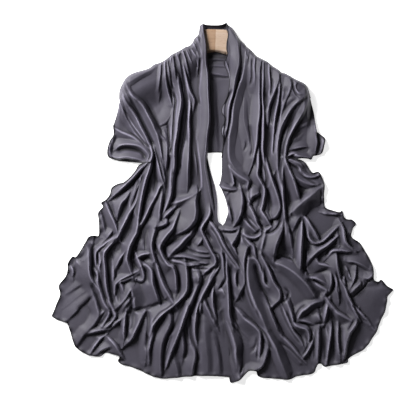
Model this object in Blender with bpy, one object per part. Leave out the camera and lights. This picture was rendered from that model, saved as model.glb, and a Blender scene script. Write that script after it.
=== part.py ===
"""Charcoal jersey hijab, laid flat over a wooden clothes hanger.

The cloth is one rectangle of knit jersey. Its middle lies behind the hanger's neck, both halves come
forward over the shoulders, are drawn together under the arms and fan out below. Each stretch of the
cloth that shows is one thin wall that follows its folds, and the underside rests on the surface at z = 0.

Frame: +Z up from the surface, +Y towards the neck, +X to the right of someone who looks down on the
front. The origin is at the middle of the outline. Tables are in millimetres, objects in metres.
"""

import math
from collections import namedtuple

import bpy
import numpy as np

MM = 0.001

# Driving sizes, in millimetres
WALL = 2.0  # cloth wall, a double layer of jersey where it gathers
SEAM = 0.35  # air between neighbouring pieces
LEAST_FOLD = 10.0  # narrowest fold flank that the wall's facets can follow
FOLD_BLEND = 5.0  # higher gives tighter valleys between folds
VALLEY = 2.5  # how far the valleys between folds would dip, if the surface did not stop them
FACET = 8.0  # about one facet of the wall
DIAGONAL = 5.0
NEIGHBOURS = (  # a point and the places one facet round it
    (0, 0), (FACET, 0), (-FACET, 0), (0, FACET), (0, -FACET),
    (DIAGONAL, DIAGONAL), (DIAGONAL, -DIAGONAL), (-DIAGONAL, DIAGONAL), (-DIAGONAL, -DIAGONAL),
)
HANGER_X = -17.0  # the hanger's middle
HANGER_TILT = math.radians(-1.8)
HANGER_HALF_SPAN = 222.0
HANGER_NECK_Y = 386.0
HANGER_REST = WALL + SEAM

# How the cloth lies over the hanger, in millimetres
DRAPE_AIR = 1.0  # air over the wood
DRAPE_ABOVE = 9.0  # width of the slope on the shoulder side of an arm
DRAPE_BELOW = 45.0  # width of the slope below an arm, at the neck
DRAPE_BELOW_MORE = 40.0  # how much wider it is at the arm's end
DRAPE_STARTS = 0.7  # share of the arm's half height where that slope starts
DRAPE_ENDS = 0.99  # share of the half span where the cloth drops past the arm's end
DRAPE_END_SHARE = 0.04
ARM_END_SLOPE = 60.0  # how fast the arm's line drops past its end, per half span
FULL_LIFT = 15.0  # lift at which the folds are pulled flattest
PULLED_FLAT = 0.55  # share of their height that folds lose there
BACK_AIR = 0.2  # more air over the back panel
LEAST_LOOSE = 0.6  # least height of loose cloth over the back panel
BACK_STEP_START, BACK_STEP = 4.0, 12.0  # how the front steps down below the back panel's hem

# Colours, linear
JERSEY_COLOUR = (0.098, 0.092, 0.118, 1.0)
BEECH_COLOUR = (0.66, 0.42, 0.25, 1.0)

# A fold's crest rises from the cloth round it. start, mid and end are its heights along the crest, lit and
# lee the widths of the flank towards the upper left and of the other one, and crest its line in plan. A low
# sharp gives a pinched crest, a high one a round roll.
Fold = namedtuple("Fold", "start mid end lit lee crest sharp", defaults=(1.4,))

LEFT_YOKE_FOLDS = (
    # The long roll beside the neck opening
    Fold(8, 13, 9, 13, 13, ((-50, 412), (-46, 350), (-43, 290), (-41, 235), (-39, 190), (-44, 145)), 2.2),
    Fold(9, 9, 4, 13, 12, ((-44, 145), (-48, 105), (-42, 65), (-36, 25), (-30, -5)), 2.0),
    # Gathers beside the collar
    Fold(4, 7, 2, 5, 5, ((-64, 398), (-58, 383), (-53, 368))),
    Fold(4, 6, 2, 5, 5, ((-72, 387), (-66, 373), (-61, 360))),
    Fold(4, 7, 3, 8, 6, ((-82, 373), (-70, 358), (-57, 344))),
    Fold(5, 7, 2, 5, 5, ((-90, 370), (-80, 347), (-71, 329))),
    Fold(6, 8, 4, 6, 5, ((-97, 367), (-89, 345), (-86, 322), (-82, 300))),
    Fold(6, 9, 5, 6, 6,
         ((-104, 363), (-98, 335), (-91, 308), (-83, 283), (-76, 262), (-68, 243), (-68, 228))),
    Fold(5, 6, 2, 4, 4, ((-112, 359), (-106, 343), (-101, 326))),
    Fold(7, 14, 9, 12, 9,
         ((-118, 355), (-115, 328), (-108, 303), (-102, 280), (-99, 250), (-97, 215), (-99, 180))),
    Fold(6, 8, 3, 5, 5, ((-124, 351), (-126, 328), (-123, 303), (-118, 284), (-111, 268))),
    Fold(6, 8, 4, 6, 5, ((-139, 340), (-136, 313), (-134, 285), (-130, 262), (-124, 240))),
    Fold(5, 8, 2, 5, 6, ((-142, 338), (-145, 312), (-149, 285), (-152, 260))),
    Fold(7, 10, 6, 16, 9,
         ((-120, 230), (-130, 208), (-145, 194), (-158, 184), (-150, 166), (-141, 147)), 1.8),
    # The hanger's edge and the slanting folds that run from the shoulder to the underarm
    Fold(3, 7, 6, 12, 14, ((-168, 323), (-190, 307), (-210, 296), (-228, 284)), 1.8),
    Fold(7, 13, 8, 10, 12,
         ((-229, 282), (-222, 261), (-204, 246), (-188, 229), (-177, 208), (-165, 184), (-155, 160))),
    Fold(8, 9, 6, 8, 8, ((-155, 160), (-149, 135), (-145, 110), (-141, 85), (-138, 62))),
    Fold(5, 11, 7, 8, 8,
         ((-240, 260), (-229, 237), (-215, 215), (-202, 194), (-190, 171), (-180, 150), (-172, 131))),
    Fold(4, 9, 6, 8, 6, ((-246, 240), (-234, 215), (-219, 192), (-204, 173), (-190, 152), (-176, 130))),
    Fold(5, 8, 5, 8, 6, ((-257, 180), (-236, 169), (-215, 158), (-199, 146), (-186, 133), (-177, 121))),
    Fold(4, 11, 6, 9, 13,
         ((-260, 127), (-243, 137), (-223, 140), (-204, 138), (-189, 130), (-179, 119), (-176, 106))),
    Fold(5, 9, 4, 14, 5, ((-268, 114), (-248, 108), (-228, 109), (-208, 107), (-193, 102), (-184, 98)), 1.8),
    Fold(3, 8, 5, 5, 9, ((-262, 156), (-269, 139), (-271, 124), (-268, 112))),
    Fold(7, 14, 9, 6, 7, ((-174, 138), (-168, 122), (-169, 107), (-175, 96))),
)

LEFT_FAN_FOLDS = (
    # Folds that spread from the underarm
    Fold(10, 11, 5, 11, 7, ((-178, 96), (-197, 78), (-215, 60), (-232, 43), (-250, 27), (-266, 14))),
    Fold(3, 9, 4, 9, 8, ((-218, 31), (-231, 14), (-243, 1), (-249, -16), (-252, -37))),
    Fold(5, 9, 5, 6, 5, ((-194, 64), (-202, 42), (-210, 21), (-216, 4), (-225, -14))),
    Fold(4, 10, 9, 7, 6, ((-201, 15), (-211, -6), (-222, -24), (-232, -44), (-241, -63), (-250, -81))),
    Fold(9, 12, 7, 8, 7,
         ((-250, -81), (-263, -94), (-274, -107), (-284, -128), (-281, -165), (-276, -205), (-268, -243))),
    Fold(7, 9, 5, 6, 6,
         ((-268, -243), (-261, -259), (-256, -272), (-268, -289), (-281, -298), (-289, -295))),
    Fold(9, 13, 10, 9, 7, ((-170, 107), (-175, 85), (-185, 50), (-193, 12), (-199, -22), (-204, -56))),
    Fold(10, 13, 8, 9, 8,
         ((-204, -56), (-207, -74), (-217, -91), (-224, -108), (-228, -130), (-223, -150), (-218, -170))),
    Fold(7, 9, 4, 7, 7, ((-223, -101), (-234, -117), (-244, -133), (-253, -147), (-259, -157))),
    Fold(5, 11, 8, 7, 7, ((-142, 47), (-153, 34), (-162, 15), (-172, -6), (-184, -30), (-201, -56))),
    Fold(6, 9, 6, 6, 7, ((-162, 128), (-158, 107), (-152, 86), (-146, 66), (-141, 47))),
    Fold(4, 10, 7, 10, 9, ((-146, 28), (-148, 3), (-150, -22), (-155, -48))),
    Fold(7, 12, 8, 12, 8,
         ((-158, -45), (-163, -72), (-170, -102), (-166, -122), (-158, -148), (-151, -172))),
    Fold(8, 11, 8, 7, 8, ((-151, -172), (-142, -192), (-133, -211), (-125, -228), (-116, -243))),
    # The deep channel and the crests between it and the neck opening
    Fold(6, 12, 8, 6, 12,
         ((-116, 188), (-115, 158), (-117, 126), (-119, 92), (-123, 48), (-129, 16), (-141, -21))),
    Fold(4, 9, 5, 9, 9, ((-137, 152), (-133, 132), (-134, 108), (-137, 84)), 1.8),
    Fold(5, 11, 6, 13, 9, ((-95, 175), (-93, 145), (-88, 105), (-84, 65), (-85, 35)), 1.9),
    Fold(4, 9, 5, 6, 6, ((-66, 178), (-68, 145), (-62, 112), (-58, 80), (-55, 50), (-53, 30))),
    Fold(5, 9, 4, 5, 6, ((-117, -11), (-127, -22), (-138, -32), (-143, -38))),
    Fold(4, 10, 6, 26, 8, ((-137, -34), (-136, -48), (-150, -56), (-161, -62))),
    Fold(6, 9, 7, 5, 16, ((-61, 26), (-78, 14), (-96, 6), (-114, 2))),
    Fold(7, 14, 8, 34, 9, ((-62, 22), (-66, 4), (-66, -22), (-69, -42), (-80, -56), (-98, -67)), 1.6),
    Fold(5, 12, 10, 8, 9, ((-108, -29), (-114, -46), (-120, -62), (-134, -77), (-144, -91), (-149, -106))),
    Fold(10, 13, 8, 8, 8,
         ((-149, -106), (-145, -121), (-138, -137), (-129, -148), (-118, -154), (-111, -173), (-110, -203))),
    # The crests left of the tangle below the neck opening
    Fold(6, 12, 7, 7, 12, ((-76, -69), (-90, -84), (-103, -100), (-115, -112), (-125, -123))),
    Fold(4, 7, 5, 5, 5, ((-118, -128), (-96, -128), (-76, -131), (-61, -134))),
    Fold(4, 6, 4, 5, 5, ((-110, -139), (-98, -142), (-84, -150), (-64, -147))),
    Fold(6, 13, 9, 12, 7, ((-90, -145), (-87, -165), (-85, -188), (-86, -208), (-95, -224), (-113, -241))),
    Fold(10, 13, 9, 14, 7,
         ((-113, -241), (-131, -255), (-146, -267), (-159, -281), (-168, -295), (-173, -311))),
    Fold(7, 9, 5, 6, 7, ((-169, -300), (-168, -318), (-173, -338), (-178, -356), (-178, -375))),
    Fold(4, 6, 3, 5, 5, ((-73, -109), (-60, -115), (-42, -118), (-23, -118))),
    Fold(3, 5, 3, 5, 5, ((-72, -121), (-55, -126), (-38, -128), (-24, -127))),
    Fold(3, 5, 3, 6, 5, ((-60, -140), (-45, -142), (-32, -144))),
    Fold(3, 9, 4, 16, 9, ((-62, -164), (-57, -178), (-60, -194)), 1.7),
    Fold(4, 9, 6, 5, 5, ((-31, -10), (-31, -26), (-38, -40), (-46, -52), (-50, -63), (-46, -78))),
    Fold(6, 9, 6, 5, 5, ((-46, -78), (-36, -97), (-27, -114), (-19, -131), (-19, -147), (-31, -158))),
    Fold(3, 6, 2, 4, 4, ((-47, -80), (-53, -93), (-61, -104))),
    Fold(5, 9, 6, 6, 6, ((-9, -152), (-21, -171), (-33, -190), (-44, -211), (-51, -228), (-53, -250))),
    Fold(6, 13, 7, 9, 8,
         ((-60, -198), (-71, -222), (-83, -250), (-93, -277), (-102, -301), (-112, -327), (-133, -385))),
    Fold(5, 10, 5, 7, 8, ((-52, -234), (-62, -257), (-66, -283), (-66, -313), (-63, -345))),
    Fold(4, 8, 3, 6, 7, ((-44, -234), (-35, -254), (-26, -273), (-16, -297))),
    Fold(4, 7, 3, 5, 5, ((-23, -208), (-23, -232), (-21, -254), (-17, -275))),
    Fold(3, 7, 5, 20, 20, ((-46, -285), (-42, -335), (-38, -375), (-38, -413)), 2.0),
    Fold(3, 5, 4, 12, 12, ((-24, -325), (-15, -360), (-10, -410)), 2.0),
    Fold(4, 10, 6, 16, 7, ((-73, -338), (-64, -364), (-70, -389), (-76, -413)), 1.7),
    Fold(4, 8, 3, 8, 9, ((-101, -298), (-96, -330), (-95, -355), (-98, -375)), 1.8),
    Fold(5, 11, 7, 12, 9,
         ((-131, -258), (-125, -280), (-134, -309), (-144, -334), (-148, -365), (-148, -402)), 1.8),
    Fold(3, 6, 5, 14, 12, ((-118, -370), (-112, -395), (-110, -416)), 2.0),
    # The lower left flap and its crests
    Fold(5, 10, 5, 6, 6, ((-234, -256), (-234, -282), (-236, -306), (-236, -329))),
    Fold(4, 11, 6, 16, 7, ((-188, -262), (-199, -284), (-208, -305), (-216, -322), (-232, -339))),
    Fold(4, 8, 4, 8, 6, ((-185, -304), (-184, -330), (-184, -355), (-186, -378))),
    Fold(4, 7, 4, 5, 5, ((-236, -268), (-247, -283), (-264, -299))),
    Fold(8, 10, 7, 8, 7,
         ((-306, -160), (-299, -171), (-298, -193), (-291, -217), (-281, -242), (-271, -262), (-289, -294))),
    Fold(5, 8, 5, 6, 6, ((-252, -70), (-266, -85), (-283, -98), (-299, -113), (-305, -132), (-304, -156))),
    Fold(5, 9, 6, 5, 6, ((-296, -120), (-290, -135), (-296, -154), (-284, -172))),
    Fold(5, 10, 7, 11, 6, ((-281, 2), (-272, -16), (-263, -34), (-255, -54), (-249, -77))),
    Fold(4, 7, 4, 8, 6, ((-262, -62), (-270, -72), (-279, -84))),
    Fold(5, 14, 9, 34, 7,
         ((-312, -91), (-317, -115), (-319, -143), (-317, -165), (-309, -186), (-297, -208)), 1.6),
    Fold(6, 12, 7, 24, 9,
         ((-320, -192), (-311, -217), (-302, -238), (-297, -266), (-309, -290), (-331, -314),
          (-350, -341)), 1.6),
    Fold(4, 7, 4, 5, 5, ((-281, -252), (-290, -265), (-300, -278))),
    Fold(7, 8, 5, 34, 6, ((-312, -218), (-329, -236), (-346, -253), (-360, -267), (-373, -281)), 1.6),
    Fold(5, 9, 5, 6, 10, ((-331, -316), (-314, -310), (-298, -306), (-276, -302))),
    Fold(4, 8, 4, 7, 6, ((-284, -318), (-296, -328), (-306, -341), (-316, -358))),
    Fold(4, 10, 6, 9, 6, ((-276, -322), (-264, -333), (-254, -344), (-243, -361))),
    Fold(4, 7, 4, 9, 8, ((-302, -362), (-289, -352), (-277, -345), (-260, -340))),
    Fold(3, 6, 3, 8, 6, ((-366, -148), (-358, -163), (-359, -178))),
    Fold(3, 6, 2, 8, 8, ((-378, -214), (-362, -207), (-346, -203))),
    Fold(2, 6, 3, 9, 7, ((-389, -205), (-378, -196), (-362, -187), (-345, -186))),
    Fold(3, 7, 4, 7, 8, ((-352, -136), (-343, -148), (-336, -160))),
    Fold(4, 7, 4, 6, 8, ((-291, -28), (-286, -48), (-284, -68))),
    # Hooks and blades in the middle of the left fan
    Fold(6, 9, 5, 6, 7,
         ((-206, -128), (-198, -144), (-191, -159), (-188, -174), (-191, -184), (-204, -182))),
    Fold(6, 9, 7, 5, 9, ((-203, -130), (-190, -122), (-176, -119), (-165, -118))),
    Fold(5, 12, 7, 14, 7,
         ((-190, -147), (-177, -153), (-169, -165), (-168, -192), (-161, -214), (-154, -239)), 1.6),
    Fold(4, 8, 5, 5, 5,
         ((-258, -208), (-256, -195), (-247, -185), (-233, -178), (-217, -171), (-200, -163))),
    Fold(5, 8, 4, 5, 8,
         ((-203, -169), (-220, -176), (-236, -184), (-246, -190), (-240, -204), (-236, -219))),
    Fold(5, 10, 6, 9, 9,
         ((-256, -252), (-241, -238), (-228, -224), (-218, -208), (-212, -224), (-210, -246))),
    Fold(4, 10, 5, 8, 14, ((-214, -223), (-224, -236), (-232, -248), (-233, -262))),
    Fold(3, 6, 3, 6, 6, ((-265, -148), (-262, -168), (-263, -190))),
    Fold(2, 6, 2, 7, 7, ((-190, -86), (-189, -100), (-192, -116)), 1.8),
)

RIGHT_YOKE_FOLDS = (
    # The lapel and its waved inner edge
    Fold(8, 14, 9, 13, 9, ((26, 408), (36, 376), (38, 342), (34, 308), (28, 276), (21, 246)), 2.0),
    Fold(9, 9, 6, 9, 7, ((21, 246), (16, 215), (14, 185), (11, 155), (11, 125), (8, 90)), 1.8),
    Fold(4, 8, 4, 6, 6, ((8, 334), (16, 312), (18, 288), (13, 264), (4, 240))),
    Fold(4, 6, 3, 5, 5, ((4, 205), (6, 190), (1, 172), (4, 152), (6, 132))),
    Fold(6, 13, 9, 8, 9, ((56, 370), (53, 340), (51, 305), (42, 275), (32, 247), (27, 215), (23, 175))),
    Fold(9, 12, 7, 7, 12, ((23, 175), (20, 150), (17, 122), (14, 100), (19, 78))),
    # Gathers along the shoulder
    Fold(4, 6, 2, 5, 4, ((63, 366), (59, 350), (58, 332))),
    Fold(5, 8, 3, 9, 6, ((76, 353), (74, 325), (76, 298), (76, 262)), 1.8),
    Fold(6, 12, 9, 12, 6, ((91, 345), (87, 318), (85, 285), (83, 245), (84, 205), (84, 170)), 1.8),
    Fold(9, 10, 5, 10, 6, ((84, 170), (79, 138), (73, 108), (64, 80))),
    Fold(5, 10, 6, 5, 6, ((98, 342), (95, 310), (95, 265), (95, 215), (96, 165), (96, 115))),
    Fold(5, 8, 4, 5, 5, ((111, 335), (110, 312), (112, 290), (115, 272))),
    Fold(5, 11, 6, 12, 7, ((133, 318), (132, 298), (126, 276), (117, 252), (107, 226), (108, 198)), 1.6),
    Fold(5, 10, 6, 6, 6,
         ((138, 312), (137, 285), (135, 250), (129, 215), (126, 180), (121, 148), (116, 106))),
    Fold(5, 11, 5, 16, 7, ((163, 301), (162, 282), (158, 264), (148, 244), (141, 219)), 1.7),
    # Slanting folds from the shoulder to the underarm
    Fold(3, 7, 5, 12, 7, ((178, 292), (170, 278), (176, 262), (192, 258)), 1.8),
    Fold(6, 14, 10, 12, 10, ((202, 268), (188, 250), (173, 233), (159, 214), (147, 195), (138, 176)), 1.6),
    Fold(10, 13, 9, 10, 9, ((138, 176), (132, 145), (130, 112), (131, 78), (135, 45)), 1.8),
    Fold(5, 12, 10, 9, 8,
         ((203, 246), (194, 222), (182, 198), (168, 176), (157, 152), (149, 122), (150, 98))),
    Fold(3, 7, 3, 10, 12, ((216, 228), (205, 205), (192, 185), (178, 160)), 1.9),
    Fold(2, 5, 3, 6, 7, ((207, 135), (186, 134), (158, 128))),
    Fold(4, 9, 5, 12, 5, ((220, 188), (223, 165), (225, 142), (221, 120)), 1.8),
    Fold(4, 7, 4, 5, 4, ((240, 154), (239, 139), (236, 123))),
    Fold(4, 8, 4, 5, 7, ((157, 113), (169, 117), (183, 112), (205, 110))),
)

RIGHT_FAN_FOLDS = (
    # Folds that hang from the underarm
    Fold(10, 13, 7, 9, 7, ((150, 98), (157, 82), (167, 60), (173, 40), (181, 16), (186, 0))),
    Fold(7, 9, 4, 5, 6, ((158, 103), (172, 98), (186, 92), (194, 84))),
    Fold(8, 11, 6, 6, 7, ((144, 108), (143, 70), (143, 25), (147, -25), (151, -72))),
    Fold(5, 13, 7, 10, 8,
         ((105, 100), (111, 78), (119, 48), (131, 18), (137, -6), (129, -26), (117, -35)), 1.7),
    Fold(6, 11, 6, 7, 8, ((86, 122), (84, 92), (82, 68), (92, 48), (99, 30), (96, 2), (92, -17))),
    Fold(6, 9, 5, 6, 6, ((92, -17), (101, -33), (109, -46), (115, -56))),
    # Crests beside the neck opening
    Fold(5, 9, 4, 5, 12, ((20, 82), (33, 71), (47, 61), (62, 49), (57, 28))),
    Fold(4, 14, 6, 22, 7, ((43, 30), (47, 6), (45, -20), (38, -38), (29, -51)), 1.6),
    Fold(4, 6, 3, 5, 5, ((20, 76), (26, 60), (28, 46), (20, 35))),
    Fold(4, 7, 3, 6, 6, ((-4, 40), (10, 34), (24, 31), (37, 33))),
    Fold(3, 8, 5, 10, 7, ((15, -5), (17, -22), (22, -42)), 1.7),
    Fold(4, 10, 5, 16, 8, ((92, 28), (80, 20), (70, 14), (63, 2)), 1.6),
    Fold(4, 8, 5, 6, 7, ((48, -22), (53, -38), (62, -52), (74, -62), (81, -69))),
    Fold(4, 10, 6, 10, 7, ((62, -4), (70, -18), (77, -33), (86, -53), (97, -68))),
    Fold(5, 8, 5, 6, 7, ((47, -72), (60, -80), (75, -83), (89, -78), (99, -70))),
    Fold(5, 9, 5, 10, 7, ((50, -80), (62, -95), (72, -106), (76, -120), (81, -135))),
    Fold(4, 7, 4, 6, 6, ((103, -68), (112, -60), (120, -54))),
    # The tall facet and the leaf right of the middle
    Fold(8, 15, 8, 34, 9, ((143, -60), (133, -85), (124, -109), (121, -134)), 1.5),
    Fold(7, 11, 7, 6, 14, ((101, -72), (95, -92), (90, -113))),
    Fold(6, 14, 9, 8, 24,
         ((122, -145), (145, -151), (168, -165), (188, -182), (204, -201), (216, -218)), 1.6),
    Fold(6, 11, 6, 9, 7,
         ((92, -121), (103, -145), (113, -166), (122, -187), (134, -209), (134, -230), (119, -247))),
    Fold(8, 15, 10, 7, 30,
         ((60, -138), (58, -165), (61, -193), (71, -224), (82, -251), (94, -277), (104, -301)), 1.6),
    Fold(10, 13, 8, 8, 20, ((104, -301), (115, -326), (126, -348), (138, -377), (150, -408)), 1.6),
    Fold(5, 8, 5, 5, 6, ((62, -133), (76, -134), (87, -146), (93, -172))),
    Fold(4, 7, 4, 5, 6, ((97, -151), (96, -172), (99, -192), (117, -206))),
    Fold(5, 11, 7, 16, 7, ((98, -222), (108, -247), (119, -274), (130, -298), (140, -319)), 1.6),
    Fold(6, 9, 6, 10, 7, ((140, -319), (156, -333), (172, -351), (190, -373))),
    Fold(4, 10, 5, 10, 7, ((142, -246), (151, -268), (161, -289), (172, -310), (185, -330), (199, -354))),
    Fold(6, 12, 7, 7, 10,
         ((154, -237), (162, -257), (171, -286), (185, -297), (201, -305), (207, -320), (203, -340))),
    Fold(5, 9, 4, 7, 8, ((218, -322), (210, -342), (200, -360), (192, -374))),
    Fold(5, 10, 6, 6, 16, ((238, -233), (220, -238), (201, -249), (187, -259), (176, -281))),
    Fold(4, 6, 4, 5, 5, ((175, -284), (192, -283), (217, -290))),
    Fold(3, 8, 4, 10, 7, ((226, -262), (231, -275), (237, -286)), 1.7),
    # Crests that run out to the lower right hem
    Fold(4, 10, 6, 8, 7, ((231, -293), (228, -318), (228, -350), (228, -378)), 1.7),
    Fold(5, 11, 5, 6, 10, ((253, -238), (248, -257), (243, -286))),
    Fold(5, 10, 6, 8, 7, ((262, -288), (260, -308), (256, -332), (248, -380))),
    Fold(4, 9, 5, 9, 7, ((275, -292), (275, -320), (278, -350), (280, -378)), 1.7),
    Fold(6, 10, 5, 8, 7, ((251, -231), (262, -247), (273, -262), (291, -273), (312, -283))),
    Fold(6, 12, 6, 14, 9, ((322, -270), (316, -289), (303, -311), (296, -336), (289, -368)), 1.7),
    Fold(6, 11, 8, 7, 7, ((283, -189), (293, -204), (300, -224), (309, -244), (323, -270))),
    Fold(4, 7, 3, 5, 6, ((312, -245), (326, -259), (340, -274), (357, -296))),
    Fold(5, 9, 4, 6, 14, ((302, -218), (314, -206), (326, -195), (335, -184))),
    Fold(5, 9, 5, 6, 6, ((267, -160), (271, -178), (276, -200), (279, -230))),
    Fold(4, 12, 6, 18, 6, ((270, -117), (273, -137), (276, -157), (281, -180)), 1.6),
    Fold(4, 7, 5, 8, 5, ((221, -123), (229, -142), (247, -148), (270, -156))),
    Fold(4, 11, 6, 10, 9, ((200, -143), (214, -128), (234, -112), (253, -97), (272, -82))),
    Fold(5, 10, 7, 7, 7,
         ((202, -58), (205, -80), (218, -96), (233, -96), (248, -83), (264, -67), (281, -50))),
    Fold(5, 11, 5, 10, 6, ((193, -32), (205, -43), (214, -60), (223, -76), (231, -91)), 1.7),
    Fold(5, 11, 5, 10, 7, ((282, -50), (289, -66), (292, -83), (298, -98), (313, -114))),
    Fold(4, 9, 5, 6, 9, ((313, -114), (297, -115), (279, -113), (262, -115), (252, -125))),
    Fold(6, 14, 7, 8, 7, ((190, -40), (189, -75), (187, -115), (184, -158)), 1.7),
    Fold(5, 13, 8, 7, 34, ((238, 40), (222, 28), (205, 15), (190, 2), (168, -19)), 1.6),
    Fold(4, 8, 4, 12, 8, ((186, -30), (177, -44), (169, -60)), 1.7),
    Fold(4, 8, 5, 7, 7, ((184, 86), (190, 71), (203, 63), (218, 62), (231, 68))),
    Fold(3, 9, 5, 12, 14, ((164, 78), (179, 60), (198, 49), (218, 43), (237, 42)), 1.7),
    Fold(3, 6, 4, 6, 6, ((238, -24), (256, -28), (279, -27))),
    Fold(3, 8, 4, 6, 7, ((204, -179), (221, -179), (237, -186), (251, -196))),
    Fold(3, 7, 4, 6, 6, ((220, -193), (236, -202), (249, -210), (242, -224))),
    Fold(4, 10, 5, 7, 6, ((258, -163), (259, -184), (256, -206))),
    Fold(4, 8, 4, 6, 6, ((319, -163), (317, -178), (309, -196), (300, -212))),
    Fold(4, 7, 4, 6, 6, ((299, -164), (305, -179), (313, -193))),
    Fold(3, 8, 4, 8, 6, ((291, -172), (290, -186), (296, -200))),
    Fold(3, 7, 3, 12, 8, ((296, -139), (316, -140), (332, -147), (348, -157)), 1.8),
    Fold(3, 6, 3, 7, 7, ((336, -178), (350, -178), (360, -166))),
    Fold(3, 8, 4, 10, 8, ((150, -35), (155, -60), (160, -85), (165, -108)), 1.7),
    Fold(3, 6, 4, 12, 14, ((352, -210), (360, -240), (362, -270)), 2.0),
    # The strip right of the middle, down to the turned corner at the hem
    Fold(5, 10, 8, 7, 7, ((9, -140), (10, -170), (12, -205), (14, -240), (16, -270), (23, -300))),
    Fold(6, 11, 7, 6, 20, ((12, -289), (22, -317), (31, -345), (30, -368), (32, -392), (41, -420)), 1.6),
    Fold(5, 10, 5, 9, 8, ((41, -263), (58, -280), (79, -297), (90, -312), (91, -335), (86, -373))),
    Fold(3, 9, 6, 12, 6, ((106, -322), (108, -345), (103, -367), (94, -390), (68, -403)), 1.7),
    Fold(4, 9, 5, 10, 7, ((37, -68), (29, -85), (22, -101), (29, -114), (39, -141))),
    Fold(6, 12, 6, 12, 8, ((60, -100), (54, -122), (51, -146), (53, -175), (50, -198), (38, -220)), 1.6),
    Fold(3, 7, 4, 6, 6, ((34, -155), (30, -175), (32, -195), (39, -214))),
    Fold(9, 13, 8, 8, 7, ((-22, -57), (-9, -76), (2, -95), (11, -114), (24, -134), (37, -154), (46, -169))),
    Fold(3, 8, 4, 9, 7, ((-7, -203), (1, -212), (6, -228)), 1.7),
    Fold(3, 7, 4, 6, 6, ((-14, -64), (-6, -86), (-2, -104), (-4, -122), (2, -142), (4, -170), (-8, -196))),
    Fold(3, 6, 3, 5, 5, ((5, -64), (20, -66), (36, -62))),
)

FOLDS = LEFT_YOKE_FOLDS + LEFT_FAN_FOLDS + RIGHT_YOKE_FOLDS + RIGHT_FAN_FOLDS

# Broad swells of heaped cloth: centre, half widths and height
Swell = namedtuple("Swell", "x y across along height")

SWELLS = (
    Swell(-165, 60, 55, 90, 5),
    Swell(150, 60, 50, 90, 5),
    Swell(-55, -70, 110, 90, 6),
    Swell(65, -90, 90, 90, 5),
    Swell(-220, -150, 80, 90, 4),
    Swell(210, -150, 80, 80, 4),
    Swell(-80, -250, 110, 80, 3),
    Swell(140, -260, 110, 80, 3),
)

# Outlines in plan, read along the named edge
NECK_RIM = ((-47, 429), (-36, 425), (-20, 424), (-4, 425), (9, 431))
LEFT_SHOULDER = (
    (-247, 250), (-246, 268), (-240, 283), (-232, 297), (-220, 307), (-205, 313), (-190, 317),
    (-175, 322), (-163, 331), (-150, 335), (-135, 343), (-122, 354), (-110, 360), (-97, 367),
    (-90, 372), (-78, 376), (-70, 385), (-66, 394), (-58, 401), (-55, 413), (-53, 425), (-47, 429),
)
RIGHT_SHOULDER = (
    (9, 431), (16, 423), (25, 415), (33, 402), (41, 390), (52, 380), (56, 373), (65, 367), (72, 360),
    (80, 351), (98, 342), (108, 337), (115, 330), (122, 325), (134, 318), (140, 312), (150, 309),
    (160, 304), (168, 299), (180, 293), (193, 287), (201, 280), (206, 268), (209, 255),
)
LEFT_SLEEVE_END = (
    (-247, 250), (-246, 238), (-251, 220), (-257, 200), (-261, 187), (-260, 172), (-261, 160),
    (-268, 150), (-271, 142), (-274, 130), (-275, 118), (-272, 109),
)
RIGHT_SLEEVE_END = (
    (209, 255), (214, 235), (219, 215), (222, 195), (225, 178), (228, 169), (235, 162), (245, 153),
    (242, 138), (240, 126), (236, 118),
)
LEFT_SLEEVE_HEM = ((-272, 109), (-262, 106), (-248, 102), (-230, 100), (-208, 98), (-186, 96))
RIGHT_SLEEVE_HEM = ((170, 105), (188, 108), (204, 107), (212, 105), (216, 113), (225, 115), (236, 118))
LEFT_WAIST = ((-186, 96), (-150, 101), (-110, 106), (-70, 109), (-36, 110))
RIGHT_WAIST = ((-2, 108), (40, 108), (90, 107), (130, 106), (170, 105))
LEFT_LAPEL = (
    (-47, 429), (-46, 416), (-42, 395), (-38, 372), (-35, 348), (-32, 322), (-30, 298), (-28, 275),
    (-27, 250), (-26, 225), (-26, 203), (-29, 184), (-31, 164), (-33, 143), (-36, 110),
)
RIGHT_LAPEL = (
    (9, 431), (12, 416), (14, 400), (11, 385), (10, 368), (12, 356), (8, 345), (4, 335), (7, 325),
    (12, 314), (16, 300), (17, 284), (15, 269), (11, 254), (5, 240), (-1, 228), (-1, 215), (5, 205),
    (4, 193), (-1, 180), (-2, 168), (2, 156), (2, 140), (0, 122), (-2, 108),
)
LEFT_INNER_EDGE = (
    (-36, 110), (-32, 90), (-27, 70), (-21, 50), (-16, 30), (-13, 10), (-12, -10), (-11, -30), (-6, -51),
    (-6, -75), (0, -100), (6, -130), (6, -160), (5, -190), (1, -215), (3, -250), (7, -285), (11, -320),
    (16, -360), (19, -395), (17, -417),
)
RIGHT_INNER_EDGE = (
    (-2, 108), (-2, 85), (-3, 65), (-6, 50), (-9, 42), (-4, 35), (2, 22), (7, 8), (11, -8), (13, -22),
    (8, -35), (0, -50), (-6, -75), (0, -100), (6, -130), (6, -160), (5, -190), (1, -215), (3, -250),
    (7, -285), (11, -320), (16, -360), (19, -395), (17, -417),
)
LEFT_OUTER_EDGE = (
    (-186, 96), (-200, 89), (-208, 76), (-220, 62), (-235, 49), (-250, 45), (-265, 36), (-269, 20),
    (-280, 6), (-290, 0), (-285, -9), (-297, -24), (-295, -45), (-296, -78), (-308, -79), (-320, -82),
    (-327, -94), (-335, -108), (-343, -121), (-352, -131), (-360, -130), (-370, -146), (-370, -160),
    (-376, -178), (-391, -197), (-389, -212), (-389, -224), (-397, -242), (-403, -258), (-409, -271),
)
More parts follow.
